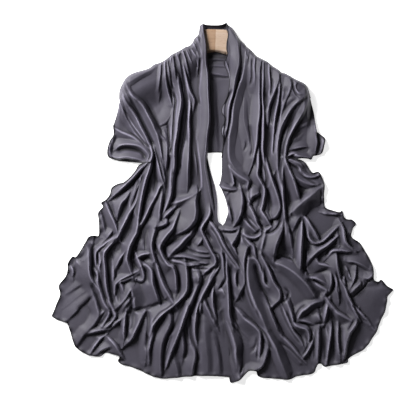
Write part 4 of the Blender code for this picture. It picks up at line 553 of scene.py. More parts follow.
    (4, 3, (151, -205, 159, -216, 153, -231, 143, -236)),
    (5, 3, (57, -132, 55, -158, 56, -184, 60, -210, 66, -230, 74, -251)),
    (5, 5, (22, -150, 20, -172, 20, -196, 23, -219, 29, -233)),
    (4, 4, (40, -160, 37, -180, 40, -200)),
    (6, 6, (205, -183, 212, -192, 220, -205, 232, -220)),
    (4, 2.5, (222, -186, 238, -197, 250, -206)),
    (4, 4, (200, -170, 216, -172, 235, -165, 252, -158)),
    (5, 3, (263, -178, 266, -194, 262, -210, 252, -223)),
    (5, 3, (272, -168, 277, -188, 277, -210, 282, -232, 283, -252)),
    (5, 3, (245, -234, 242, -250, 238, -266)),
    (6, 4, (200, -245, 187, -254, 178, -268, 172, -287)),
    (4, 3, (141, -252, 150, -278, 160, -299, 172, -318, 186, -336)),
    (5, 3, (155, -262, 163, -279, 170, -292)),
    (5, 3, (128, -280, 133, -295, 138, -311)),
    (4, 3, (81, -257, 88, -276)),
    (4, 3, (142, -336, 160, -348, 178, -366, 195, -384)),
    (5, 3, (200, -320, 204, -335, 202, -349, 193, -364)),
    (4, 3, (216, -303, 213, -320, 208, -336)),
    (4, 2.5, (222, -290, 240, -288)),
    (4, 3, (231, -264, 236, -274, 240, -282)),
    (4, 3, (222, -308, 220, -340, 220, -372)),
    (6, 4, (243, -298, 245, -325, 246, -350, 247, -376)),
    (4, 3, (253, -298, 252, -318)),
    (6, 6, (263, -256, 266, -282, 267, -310, 267, -342, 263, -376)),
    (6, 4, (285, -302, 285, -330, 287, -359)),
    (5, 4, (302, -303, 310, -292, 316, -281)),
    (4, 4, (301, -237, 307, -252, 315, -266)),
    (4, 3, (310, -247, 323, -261, 336, -275, 350, -287)),
    (4, 8, (281, -213, 287, -235, 292, -254)),
    (4, 3, (300, -166, 303, -180, 311, -191)),
    (4, 4, (285, -180, 291, -187)),
    (4, 3, (333, -188, 335, -198)),
    (3, 7, (304, -214, 308, -228, 314, -240)),
    (2, 6, (338, -201, 358, -200, 380, -198)),
    (4, 8, (284, -144, 298, -144)),
    (4, 8, (318, -326, 322, -344, 310, -354)),
))

SWELLS = (
    Swell(-130, 200, 80, 90, 5),
    Swell(100, 200, 80, 90, 3),
    Swell(0, -200, 260, 170, 3),
    Swell(365, -228, 42, 45, 8),
    Swell(-165, 60, 55, 90, 5),
    Swell(150, 60, 50, 90, 5),
    Swell(-55, -70, 110, 90, 6),
    Swell(65, -90, 90, 90, 5),
    Swell(-220, -150, 80, 90, 4),
    Swell(210, -150, 80, 80, 4),
    Swell(-80, -250, 110, 80, 3),
    Swell(140, -260, 110, 80, 3),
)

# Outlines in plan, read along the named edge
NECK_RIM = ((-47, 429), (-36, 425), (-20, 424), (-4, 425), (9, 431))
LEFT_SHOULDER = (
    (-247, 250), (-246, 268), (-240, 283), (-232, 297), (-220, 307), (-205, 313), (-190, 317), (-175, 322),
    (-163, 331), (-150, 335), (-135, 343), (-122, 354), (-110, 360), (-97, 367), (-90, 372), (-78, 376),
    (-70, 385), (-66, 394), (-58, 401), (-55, 413), (-53, 425), (-47, 429),
)
RIGHT_SHOULDER = (
    (9, 431), (16, 423), (25, 415), (33, 402), (41, 390), (52, 380), (56, 373), (65, 367), (72, 360),
    (80, 351), (98, 342), (108, 337), (115, 330), (122, 325), (134, 318), (140, 312), (150, 309),
    (160, 304), (168, 299), (180, 293), (193, 287), (201, 280), (206, 268), (209, 255),
)
LEFT_SLEEVE_END = (
    (-247, 250), (-246, 238), (-251, 220), (-257, 200), (-261, 187), (-260, 172), (-261, 160), (-268, 150),
    (-271, 142), (-274, 130), (-275, 118), (-272, 109),
)
RIGHT_SLEEVE_END = (
    (209, 255), (214, 235), (219, 215), (222, 195), (225, 178), (228, 169), (235, 162), (245, 153),
    (242, 138), (240, 126), (236, 118),
)
LEFT_SLEEVE_HEM = ((-272, 109), (-262, 106), (-248, 102), (-230, 100), (-208, 98), (-186, 96))
RIGHT_SLEEVE_HEM = ((170, 105), (188, 108), (204, 107), (212, 105), (216, 113), (225, 115), (236, 118))
LEFT_WAIST = ((-186, 96), (-150, 101), (-110, 106), (-70, 109), (-36, 110))
RIGHT_WAIST = ((-2, 108), (40, 108), (90, 107), (130, 106), (170, 105))
LEFT_LAPEL = (
    (-47, 429), (-46, 416), (-42, 395), (-38, 372), (-35, 348), (-32, 322), (-30, 298), (-28, 275),
    (-27, 250), (-26, 225), (-26, 203), (-29, 184), (-31, 164), (-33, 143), (-36, 110),
)
RIGHT_LAPEL = (
    (9, 431), (12, 416), (14, 400), (11, 385), (10, 368), (12, 356), (8, 345), (4, 335), (7, 325),
    (12, 314), (16, 300), (17, 284), (15, 269), (11, 254), (5, 240), (-1, 228), (-1, 215), (5, 205),
    (4, 193), (-1, 180), (-2, 168), (2, 156), (2, 140), (0, 122), (-2, 108),
)
LEFT_INNER_EDGE = (
    (-36, 110), (-32, 90), (-27, 70), (-21, 50), (-16, 30), (-13, 10), (-12, -10), (-12, -30), (-9, -46),
    (0, -54), (-6, -75), (0, -100), (6, -130), (6, -160), (5, -190), (1, -215), (3, -250), (7, -285),
    (11, -320), (16, -360), (19, -395), (17, -417),
)
RIGHT_INNER_EDGE = (
    (-2, 108), (-2, 85), (-3, 65), (-6, 50), (-9, 42), (-4, 35), (2, 22), (7, 8), (11, -8), (13, -22),
    (9, -35), (5, -47), (0, -54), (-6, -75), (0, -100), (6, -130), (6, -160), (5, -190), (1, -215),
    (3, -250), (7, -285), (11, -320), (16, -360), (19, -395), (17, -417),
)
LEFT_OUTER_EDGE = (
    (-186, 96), (-200, 89), (-208, 76), (-220, 62), (-235, 49), (-250, 45), (-265, 36), (-269, 20),
    (-280, 6), (-290, 0), (-285, -9), (-297, -24), (-295, -45), (-296, -78), (-308, -79), (-320, -82),
    (-327, -94), (-335, -108), (-343, -121), (-352, -131), (-360, -130), (-370, -146), (-370, -160),
    (-376, -178), (-391, -197), (-389, -212), (-389, -224), (-397, -242), (-403, -258), (-409, -271),
)
RIGHT_OUTER_EDGE = (
    (170, 105), (185, 103), (196, 97), (203, 88), (209, 78), (216, 71), (228, 74), (234, 68), (243, 46),
    (242, 22), (243, 2), (246, -12), (264, -19), (280, -23), (287, -20), (290, -33), (298, -40),
    (310, -41), (319, -51), (312, -60), (308, -81), (327, -95), (334, -105), (348, -128), (357, -146),
    (361, -162), (362, -184), (373, -190), (380, -185), (387, -192), (394, -200), (409, -208),
)
LEFT_HEM = (
    (-409, -271), (-394, -280), (-373, -287), (-367, -300), (-362, -316), (-356, -334), (-349, -347),
    (-328, -361), (-310, -366), (-294, -367), (-279, -358), (-262, -362), (-245, -368), (-250, -379),
    (-238, -387), (-216, -393), (-196, -401), (-178, -410), (-160, -417), (-138, -420), (-105, -417),
    (-75, -414), (-42, -413), (-12, -414), (17, -417),
)
RIGHT_HEM = (
    (17, -417), (20, -430), (33, -427), (45, -419), (60, -403), (72, -400), (82, -403), (89, -416),
    (125, -420), (160, -422), (180, -414), (216, -408), (223, -395), (228, -385), (238, -385), (246, -391),
    (272, -387), (298, -382), (301, -373), (318, -361), (333, -354), (346, -342), (358, -324), (369, -307),
    (377, -284), (388, -260), (393, -236), (394, -225), (400, -217), (409, -208),
)
BACK_HEM = (
    (-272, 109), (-230, 101), (-186, 99), (-100, 114), (-34, 121), (0, 122), (100, 114), (170, 107),
    (236, 118),
)

# The back's small cross folds and creases, which show below the hanger in the neck opening
BACK_CREASES = (
    Crease(1.3, 2.5, (-44, 300, -15, 301, 18, 300)),
    Crease(1.3, 2.5, (-44, 331, -15, 331, 16, 330)),
)
BACK_FOLDS = (
    Fold(2, 4, 2, 6, 6, (-40, 343, -15, 345, 12, 343)),
    Fold(2, 4, 2, 6, 5, (-42, 329, -15, 330, 16, 328)),
    Fold(2, 4, 2, 9, 5, (-42, 308, -15, 309, 18, 307)),
    Fold(1, 3, 2, 9, 7, (-22, 290, -20, 220, -16, 140), 1.8),
)

ARM_SECTIONS = (
    ArmSection(0.000, 0, 59, 14),
    ArmSection(0.090, 0, 59, 14),
    ArmSection(0.122, 0.5, 58, 14),
    ArmSection(0.145, 7, 50, 14),
    ArmSection(0.190, 19, 40, 14),
    ArmSection(0.250, 36, 31, 14),
    ArmSection(0.360, 45, 29, 15),
    ArmSection(0.600, 81, 29, 19),
    ArmSection(0.780, 103, 28, 23),
    ArmSection(0.900, 118, 26, 25),
    ArmSection(0.970, 127, 22, 23),
    ArmSection(1.000, 133, 12, 18),
)


def ease(t: Array) -> Array:
    """A soft step: 0 up to t = 0, then 3t squared less 2t cubed, and 1 from t = 1 on."""
    t = np.clip(t, 0, 1)
    return t * t * (3 - 2 * t)


def bell(t: Array) -> Array:
    """A bell curve: 1 at t = 0, and e to the power of minus t squared beside it."""
    return np.exp(-(t**2))


def smooth_line(points: Points | Run, pieces: int) -> Array:
    """A smooth curve through points in plan.

    Each span is the Catmull-Rom cubic: it leaves a point along the line between that point's neighbours.

    Args:
        points: the points, in millimetres.
        pieces: how many straight pieces each span becomes.

    Returns:
        The curve's points, one row each.
    """
    p = np.array(points, float).reshape(-1, 2)
    p = np.vstack([2 * p[0] - p[1], p, 2 * p[-1] - p[-2]])
    t = (np.arange(pieces) / pieces)[:, None]
    spans = [
        0.5 * (2 * b + (c - a) * t + (2 * a - 5 * b + 4 * c - d) * t**2 + (3 * b - a - 3 * c + d) * t**3)
        for a, b, c, d in zip(p[:-3], p[1:-2], p[2:-1], p[3:])
    ]
    return np.vstack([*spans, p[-2:-1]])


def line_length(line: Array) -> float:
    """Length in plan of a line of points."""
    return np.hypot(*np.diff(line, axis=0).T).sum()


def along_edge(points: Points, shares: Array) -> Array:
    """Points along a named edge of the cloth.

    Args:
        points: the edge's own points.
        shares: where along the edge, as shares of its length from 0 to 1.

    Returns:
        One row of x, y for each share.
    """
    line = smooth_line(points, EDGE_PIECES)
    along = np.concatenate([[0], np.cumsum(np.hypot(*np.diff(line, axis=0).T))])
    at = shares * along[-1]
    return np.stack([np.interp(at, along, line[:, 0]), np.interp(at, along, line[:, 1])], axis=-1)


def wander(x: Array, y: Array, pitch: float, seed: int) -> Array:
    """Slow unevenness between -1 and 1.

    The sum of five plane waves at angles a golden turn apart, each with a length and phase of its own.

    Args:
        x, y: where, in millimetres.
        pitch: the mean wavelength, in millimetres.
        seed: picks the angles and phases.

    Returns:
        One value for each point.
    """
    waves, shortest, longer = 5, 0.7, 0.17
    total = np.zeros_like(x)
    for k in range(waves):
        turn = GOLDEN_TURN * (k + seed)
        length = pitch * (shortest + longer * k)
        along = math.cos(turn) * x + math.sin(turn) * y
        total += np.sin(2 * math.pi * along / length + 1.7 * seed + 2.1 * k)
    return total / waves


def nearest_on(line: Array, point: Array) -> tuple[Array, Array, Array]:
    """Distance, share of the length and side of the nearest point on a line.

    For each straight piece the foot of the perpendicular is clamped to the piece, and the nearest wins.

    Args:
        line: the line's points.
        point: the points to measure from, one row each.

    Returns:
        Distance, share along the line from 0 to 1, and a number above 0 on the line's left.
    """
    steps = np.diff(line, axis=0)
    lengths = np.maximum(np.hypot(*steps.T), TINY)
    along = np.concatenate([[0], np.cumsum(lengths)])
    best = np.full(len(point), np.inf)
    share, side = np.zeros(len(point)), np.zeros(len(point))
    for start, step, length, before in zip(line, steps, lengths, along):
        off = point - start
        t = np.clip(off @ step / length**2, 0, 1)
        gap = off - t[:, None] * step
        distance = np.hypot(*gap.T)
        closer = distance < best
        best = np.where(closer, distance, best)
        share = np.where(closer, (before + t * length) / along[-1], share)
        side = np.where(closer, step[0] * gap[:, 1] - step[1] * gap[:, 0], side)
    return best, share, side


def reach_of(line: Array, x: Array, y: Array) -> tuple[Array, Array]:
    """How far grid points lie from a line in plan.

    Args:
        line: the line's points.
        x, y: the grid's plan, in any shape.

    Returns:
        Distance from the line and share along it, both in the grid's shape.
    """
    distance, share, _ = nearest_on(line, np.stack([x.ravel(), y.ravel()], axis=-1))
    return distance.reshape(x.shape), share.reshape(x.shape)


@dataclass
class Hanger:
    """The wooden wide-shoulder hanger: two arms that meet at the neck.

    An arm's section at share s of the half span is a rounded rectangle |a|^n + |b|^n = 1, scaled to the
    arm's height and thickness there, and its middle line drops by the table's amount.
    """

    x: float = -17.0  # where the arms meet
    neck_y: float = 386.0
    tilt: float = math.radians(-1.8)
    half_span: float = 222.0
    rest: float = WALL + SEAM  # the wood's underside lies on the back panel
    rounding: float = 4.0  # n
    neck_arch: float = 4.5  # how far the lower edge curves up in the middle
    arch_reach: float = 0.1  # and over what share of the half span
    bevel: float = 4.0  # how much the front face falls off towards the lower edge
    bevel_start: float = 0.78  # from here, where 0 is the middle line and 1 the lower edge
    bevel_blend: float = 0.22  # and over this much
    bevel_run: tuple[float, float] = (1.3, 2.4)  # it fades as the first less the second times s
    thinnest: float = 1.0  # what the bevel leaves of the wood
    chamfer: float = 0.012  # how much smaller the section is where the arms meet
    chamfer_reach: float = 0.004
    joint: float = 0.05  # half the gap between the arms
    end_cap: float = 0.03  # share of the half span that the rounded end takes
    end_fall: float = 60.0  # past the arm's end the middle line falls by this for each half span
    padding: float = 1.0  # how far the cloth stands off the wood
    slope_start: float = 0.7  # where the cloth's slope begins, in half heights below the middle line
    slope_width: tuple[float, float] = (45.0, 40.0)  # its width is the first plus the second times s
    slope_end: float = 0.06  # and past the arm's end it falls over this share of the half span
    sections: tuple[ArmSection, ...] = ARM_SECTIONS

    def row(self, share: Array, column: str) -> Array:
        """A column of the arm table at any share of the half span."""
        shares = [section.share for section in self.sections]
        return np.interp(share, shares, [getattr(section, column) for section in self.sections])

    def local(self, x: Array, y: Array) -> tuple[Array, Array]:
        """Where plan points lie on the tilted hanger.

        Args:
            x, y: the points, in millimetres.

        Returns:
            Share of the half span, and distance above the arm's middle line.
        """
        dx, dy = x - self.x, y - self.neck_y
        c, s = math.cos(-self.tilt), math.sin(-self.tilt)
        across, up = c * dx - s * dy, s * dx + c * dy
        share = np.abs(across) / self.half_span
        return share, up + self.row(share, "drop") + np.maximum(share - 1, 0) * self.end_fall

    def top(self, x: Array, y: Array) -> Array:
        """Top of the wood at a point, or 0 beside it."""
        share, off = self.local(x, y)
        reach = np.abs(off) / (self.row(share, "height") / 2)
        crown = np.maximum(1 - reach**self.rounding, 0) ** (1 / self.rounding)
        top = self.rest + self.row(share, "thick") / 2 * (1 + crown)
        return np.where((share <= 1) & (reach <= 1), top, 0)

    def lift(self, x: Array, y: Array) -> Array:
        """How far the hanger lifts the cloth: full over the arm, then a long eased slope below it."""
        share, off = self.local(x, y)
        half = self.row(share, "height") / 2
        width = self.slope_width[0] + self.slope_width[1] * np.minimum(share, 1)
        below = 1 - ease((-off - self.slope_start * half) / width)
        past = 1 - ease((share - 1.0) / self.slope_end)
        return (self.row(share, "thick") + self.padding) * np.where(off > 0, 1.0, below) * past

    def arm_mesh(self, side: int, stations: int = 106, cap: int = 24, ring: int = 56) -> bpy.types.Object:
        """One arm: its section carried along the middle line, closed at both ends.

        Args:
            side: -1 for the left arm, 1 for the right one.
            stations: sections along the arm.
            cap: sections in its rounded end, set along a quarter circle.
            ring: points round a section.

        Returns:
            The arm's object, with its length and the share round it as its UV map.
        """
        quarter = np.linspace(0, math.pi / 2, cap + 1)[1:]
        body, rounded = np.linspace(0, 1 - self.end_cap, stations), 1 - self.end_cap * np.cos(quarter)
        share = np.concatenate([body, rounded])
        angle = 2 * math.pi * (np.arange(ring) + 0.5) / ring
        power = 2 / self.rounding
        wide = np.sign(np.cos(angle)) * np.abs(np.cos(angle)) ** power
        deep = np.sign(np.sin(angle)) * np.abs(np.sin(angle)) ** power
        inset = 1 - self.chamfer * np.clip(1 - share / self.chamfer_reach, 0, 1)
        across = side * np.maximum(share * self.half_span, self.joint)[:, None] * np.ones(ring)
        up = -self.row(share, "drop")[:, None] + wide * (self.row(share, "height") / 2 * inset)[:, None]
        arch = self.neck_arch * np.clip(1 - (share / self.arch_reach) ** 2, 0, 1)
        up += arch[:, None] * np.clip(-wide, 0, 1)
        height = self.rest + self.row(share, "thick")[:, None] / 2 * (1 + deep * inset[:, None])
        fade = np.clip(self.bevel_run[0] - self.bevel_run[1] * share, 0, 1)
        bevel = ease((-wide - self.bevel_start) / self.bevel_blend)[None] * fade[:, None] * self.bevel
        height = np.maximum(height - np.where(deep > 0, bevel, 0), self.rest + self.thinnest)
        c, s = math.cos(self.tilt), math.sin(self.tilt)
        points = np.dstack([self.x + c * across - s * up, self.neck_y + s * across + c * up, height])
        return tube_mesh(f"hanger_{'left' if side < 0 else 'right'}_wood", points, side > 0)


HANGER = Hanger()


@dataclass(frozen=True)
class UpperRim:
    """The round edge along the shoulders and neck, where front and back are one cloth."""

    band: float = 9.0  # its width in plan
    neck: tuple[float, float] = (-52.0, 16.0)  # where the neck opening starts and ends, along x
    neck_blend: float = 14.0
    neck_rise: float = 11.0  # how far above WALL front and back meet there
    shoulder_rise: float = 6.5  # and over the shoulders
    sleeve_drop: float = 3.0  # less this past the arm's end
    sleeve_start: float = 0.9  # share of the hanger's half span
    sleeve_blend: float = 0.15

    def across(self, x: Array, y: Array) -> tuple[Array, Array]:
        """Both layers follow a quarter of an ellipse over the rim's width and meet at half height.

        Args:
            x, y: plan points.

        Returns:
            0 at the edge to 1 inside it along the quarter ellipse, and the height at which they meet.
        """
        inside = np.clip(self.distance(x, y) / self.band, 0, 1)
        share, _ = HANGER.local(x, y)
        neck = ease((x - self.neck[0]) / self.neck_blend) * ease((self.neck[1] - x) / self.neck_blend)
        drop = self.sleeve_drop * ease((share - self.sleeve_start) / self.sleeve_blend)
        meet = WALL + neck * self.neck_rise + (1 - neck) * (self.shoulder_rise - drop)
        return np.sqrt(np.maximum(1 - (1 - inside) ** 2, 0)), meet

    def distance(self, x: Array, y: Array) -> Array:
        """Distance in plan from the cloth's upper edge, from shoulder to shoulder."""
        edges = (LEFT_SHOULDER, NECK_RIM, RIGHT_SHOULDER)
        return reach_of(np.vstack([smooth_line(edge, EDGE_PIECES) for edge in edges]), x, y)[0]


UPPER_RIM = UpperRim()


@dataclass
class Relief:
    """The height of the cloth's upper side over its plan.

    Folds join as the fifth root of the sum of their fifth powers, so the highest wins and two that meet
    leave a narrow valley. A pinched fold falls from its crest as (1 - distance / foot) to a power, and a
    round one as an arch, (1 - distance squared / foot squared) to a power. A fold's own roundness mixes the
    two. Its lee side is steep, with a groove at the foot.
    """

    folds: tuple[Fold, ...]
    back_folds: tuple[Fold, ...]
    swells: tuple[Swell, ...]
    creases: tuple[Crease, ...]
    back_creases: tuple[Crease, ...]
    blend: float = 5.0
    valley: float = 2.5  # how far the loose cloth sinks between the folds
    height_gain: float = 1.5
    tension: float = 0.35  # share of a fold's height that is lost where the hanger stretches the cloth
    tension_lift: float = 15.0  # and the lift from which on it is lost in full
    least: float = 3.5  # the narrowest flank
    spare: float = 1.2  # how much wider than its row a fold can get
    skirt: float = 3.2  # how far a fold's lit foot reaches, in flank widths
    most_skirt: float = 20.0  # and at most this far past the flank
    lee_foot: tuple[float, float] = (0.95, 1.2)  # the other foot: the first times the width, and the second
    lit_power: float = 1.6  # of a pinched fold
    lee_power: float = 1.1
    arch_power: float = 1.7  # of a round fold
    arch_feet: tuple[float, float] = (0.8, 1.15)  # its lit and lee foot, as shares of a pinched fold's
    pinched_to: float = 1.3  # a fold whose sharp is this or less is all pinched
    rounding: float = 0.9  # and one whose sharp is this much more is all round
    crest_round: float = 0.9
    run_out: float = 28.0  # over which a fold dies away past both ends of its crest
    end_width: float = 0.3  # its width at the very end, as a share
    waver: float = 2.0  # how far a crest strays from its line
    waver_pitch: float = 60.0
    uneven: float = 0.15  # how much a fold's width changes along it
    uneven_pitch: float = 90.0
    light_slant: float = 0.6  # a crest that runs towards (this, 1) in plan is lit on its left
    tuck: float = 0.3  # depth of the groove under a fold's lee side, as a share of the fold's height
    deepest_tuck: float = 3.5
    tuck_half_width: float = 2.4
    tuck_weight: float = 0.3  # what a groove counts for where its own fold is nil
    crease_run_out: float = 8.0
    crease_reach: float = 2.6  # in half widths
    back_folds_below: float = 354.0  # y under the wood where the back's folds end
    hem_blend: float = 70.0  # the front steps down past the back's hem over this length
    hem_inset: float = 4.0  # and starts this far inside it
    back_unrest: tuple[Unrest, ...] = ((0.35, 38.0, 5),)
    front_unrest: tuple[Unrest, ...] = ((0.5, 60.0, 1), (0.1, 19.0, 2))
    over_hem: float = 0.2  # air between the back panel and the front
    least_loose: float = 0.4  # the loose cloth over the back panel lies at least this high
    wood_air: float = 0.4  # a yoke clears the wood by this much,
    back_air: float = 0.6  # the back panel by this much
    rim_air: float = 0.9  # and meets it at the shoulder's rim with this much between them

    def near(self, line: Array, reach: float, x: Array, y: Array) -> Array:
        """Which points lie in the box of a line, grown by this much."""
        low, high = line.min(axis=0) - reach, line.max(axis=0) + reach
        return (x > low[0]) & (x < high[0]) & (y > low[1]) & (y < high[1])

    def run(self, points: Run, out: float) -> tuple[Array, float]:
        """A smooth line carried on past both ends, and the length that it had before."""
        line = smooth_line(points, FOLD_PIECES)
        first, last = line[0] - line[1], line[-1] - line[-2]
        first, last = first / np.hypot(*first), last / np.hypot(*last)
        return np.vstack([line[0] + first * out, line, line[-1] + last * out]), line_length(line)

    def crest_height(self, fold: Fold, t: Array) -> Array:
        """A fold's height at share t of its crest: the parabola through its start, mid and end heights."""
        pull = 2 * fold.mid - (fold.start + fold.end) / 2
        return (1 - t) ** 2 * fold.start + 2 * t * (1 - t) * pull + t**2 * fold.end

    def rise(self, fold: Fold, x: Array, y: Array) -> tuple[Array, Array]:
        """One fold over the plan.

        Args:
            fold: its row.
            x, y: plan points.

        Returns:
            The fold's height, and the depth of the groove under its lee side.
        """
        rise, groove = np.zeros_like(x), np.zeros_like(x)
        line, length = self.run(fold.crest, self.run_out)
        widest = max(fold.lit, fold.lee, self.least) * self.spare
        near = self.near(line, min(widest * self.skirt, widest + self.most_skirt) + self.waver, x, y)
        if not near.any():
            return rise, groove
        point = np.stack([x[near], y[near]], axis=-1)
        stray = [wander(*point.T, self.waver_pitch, seed) for seed in (4, 7)]
        best, share, side = nearest_on(line, point + np.stack(stray, axis=-1) * self.waver)
        at = share * (length + 2 * self.run_out) - self.run_out
        fade = 1 - ease(np.maximum(np.maximum(-at, at - length), 0) / self.run_out)
        chord = line[-1] - line[0]
        lit = side * (np.sign(chord[0] * self.light_slant + chord[1]) or 1.0) > 0
        unevenness = 1 + self.uneven * wander(*point.T, self.uneven_pitch, 3)
        narrowing = self.end_width + (1 - self.end_width) * fade
        width = np.maximum(np.where(lit, fold.lit, fold.lee), self.least) * unevenness * narrowing
        height = self.crest_height(fold, np.clip(at / length, 0, 1)) * fade
        roundness = min(max((fold.sharp - self.pinched_to) / self.rounding, 0.0), 1.0)
        lit_foot = np.minimum(width * self.skirt, width + self.most_skirt)
        foot = np.where(lit, lit_foot, width * self.lee_foot[0] + self.lee_foot[1])
        soft = np.sqrt(best**2 + self.crest_round**2) - self.crest_round
        pinched = np.clip(1 - soft / foot, 0, 1) ** np.where(lit, self.lit_power, self.lee_power)
        arch_foot = foot * np.where(lit, *self.arch_feet)
        arched = (1 - np.clip(best / arch_foot, 0, 1) ** 2) ** self.arch_power
        rise[near] = height * (pinched + (arched - pinched) * roundness)
        dip = np.minimum(self.tuck * height, self.deepest_tuck) * bell((best - foot) / self.tuck_half_width)
        groove[near] = np.where(lit, 0, dip)
        return rise, groove

    def together(self, folds: tuple[Fold, ...], x: Array, y: Array) -> Array:
        """All folds of a table at once, less the groove of whichever fold is the highest at a point."""
        total, grooves = np.full_like(x, TINY), np.zeros_like(x)
        for fold in folds:
            rise, groove = self.rise(fold, x, y)
            weight = (rise + self.tuck_weight * (groove > 0)) ** self.blend
            total += weight
            grooves += groove * weight
        return total ** (1 / self.blend) - grooves / total

    def valleys(self, creases: tuple[Crease, ...], x: Array, y: Array) -> Array:
        """Depth of the creases: the deepest of their bell-shaped sections at each point."""
        deepest = np.zeros_like(x)
        for crease in creases:
            line, length = self.run(crease.line, self.crease_run_out)
            near = self.near(line, crease.wide * self.crease_reach, x, y)
            if near.any():
                best, share, _ = nearest_on(line, np.stack([x[near], y[near]], axis=-1))
                whole = length + 2 * self.crease_run_out
                at = share * whole
                fade = ease(np.minimum(at, whole - at) / (2 * self.crease_run_out))
                deepest[near] = np.maximum(deepest[near], crease.deep * fade * bell(best / crease.wide))
        return deepest

    def swell(self, x: Array, y: Array) -> Array:
        """The heaped cloth under the folds: a bell curve each."""
        total = np.zeros_like(x)
        for s in self.swells:
            total += s.height * np.exp(-(((x - s.x) / s.across) ** 2) - ((y - s.y) / s.along) ** 2)
        return total

    def back(self, x: Array, y: Array) -> Array:
        """Top of the back panel: flat, with cross folds in the neck opening and a rim round the hanger."""
        curve, meet = UPPER_RIM.across(x, y)
        flat = WALL + np.where(y < self.back_folds_below, self.together(self.back_folds, x, y), 0)
        flat = self.ruffled(flat, self.back_unrest, x, y) - self.valleys(self.back_creases, x, y)
        return flat + (meet - WALL) * (1 - curve)

    def back_reach(self, x: Array, y: Array) -> Array:
        """1 over the back panel and 0 well below its hem, eased between."""
        hem = np.array(BACK_HEM, float)
        return 1 - ease((np.interp(x, hem[:, 0], hem[:, 1]) - self.hem_inset - y) / self.hem_blend)

    def ruffled(self, height: Array, unrest: tuple[Unrest, ...], x: Array, y: Array) -> Array:
        """A height with slow and quick unevenness laid over it."""
        for most, pitch, seed in unrest:
            height = height + most * wander(x, y, pitch, seed)
        return height

    def front(self, x: Array, y: Array) -> Array:
        """Top of the front cloth over the hanger, the back panel and the surface."""
        over_back = self.back_reach(x, y)
        floor = WALL + over_back * (WALL + SEAM + self.over_hem)
        lift = HANGER.lift(x, y)
        stretch = 1 - self.tension * np.minimum(lift / self.tension_lift, 1)
        folds = self.height_gain * self.together(self.folds, x, y) * stretch
        loose = self.ruffled(self.swell(x, y) - self.valley + folds, self.front_unrest, x, y)
        loose = loose - self.valleys(self.creases, x, y)
        return floor + np.maximum(loose, over_back * self.least_loose) + lift

    def yoke(self, x: Array, y: Array) -> Array:
        """The front's height over the shoulders: clear of the wood and back panel, closed at the rim."""
        curve, meet = UPPER_RIM.across(x, y)
        over_wood = HANGER.top(x, y) + SEAM + JERSEY + self.wood_air
        over_back = WALL + SEAM + JERSEY + self.back_air
        full = np.maximum(self.front(x, y), np.maximum(over_wood, over_back))
        return meet + (full - meet) * curve + self.rim_air * (1 - curve)


RELIEF = Relief(
    folds=LEFT_YOKE_FOLDS + LEFT_FAN_FOLDS + RIGHT_YOKE_FOLDS + RIGHT_FAN_FOLDS,
    back_folds=BACK_FOLDS,
    swells=SWELLS,
    creases=CREASES,
    back_creases=BACK_CREASES,
)


def mesh_object(name: str, points: Array, quads: Array, uv: Array) -> bpy.types.Object:
    """A smooth-shaded object from points in millimetres.

    Args:
        name: the piece's name.
        points: one row of x, y, z for each vertex.
        quads: one row of four vertex numbers for each face.
        uv: one row of u, v for each vertex, in metres of cloth or wood.

    Returns:
        The new object, with a UV map named surface.
    """
    mesh = bpy.data.meshes.new(name)
    mesh.vertices.add(len(points))
    mesh.vertices.foreach_set("co", (points * MM).astype(np.float32).ravel())
    mesh.loops.add(quads.size)
    mesh.loops.foreach_set("vertex_index", quads.astype(np.int32).ravel())
    mesh.polygons.add(len(quads))
    mesh.polygons.foreach_set("loop_start", np.arange(0, quads.size, 4, dtype=np.int32))
    mesh.update(calc_edges=True)
    layer = mesh.uv_layers.new(name="surface")
    layer.data.foreach_set("uv", uv[quads.ravel()].astype(np.float32).ravel())
    mesh.shade_smooth()
    obj = bpy.data.objects.new(name, mesh)
    bpy.context.scene.collection.objects.link(obj)
    return obj


def unit(vectors: Array) -> Array:
    """The vectors of an array's last axis, each scaled to length 1."""
    return vectors / np.maximum(np.linalg.norm(vectors, axis=-1, keepdims=True), 1e-9)


def sharpen(mesh: bpy.types.Mesh, vertices: Array) -> None:
    """Marks as sharp the edges that run between these vertices."""
    pairs = np.zeros(2 * len(mesh.edges), np.int32)
    mesh.edges.foreach_get("vertices", pairs)
    mesh.edges.foreach_set("use_edge_sharp", np.isin(pairs.reshape(-1, 2), vertices).all(axis=1))


def grid_quads(rows: int, columns: int) -> Array:
    """The faces of a grid whose rows run down the page, seen from above."""
    index = np.arange(rows * columns).reshape(rows, columns)
    corners = [index[:-1, :-1], index[1:, :-1], index[1:, 1:], index[:-1, 1:]]
    return np.stack(corners, axis=-1).reshape(-1, 4)


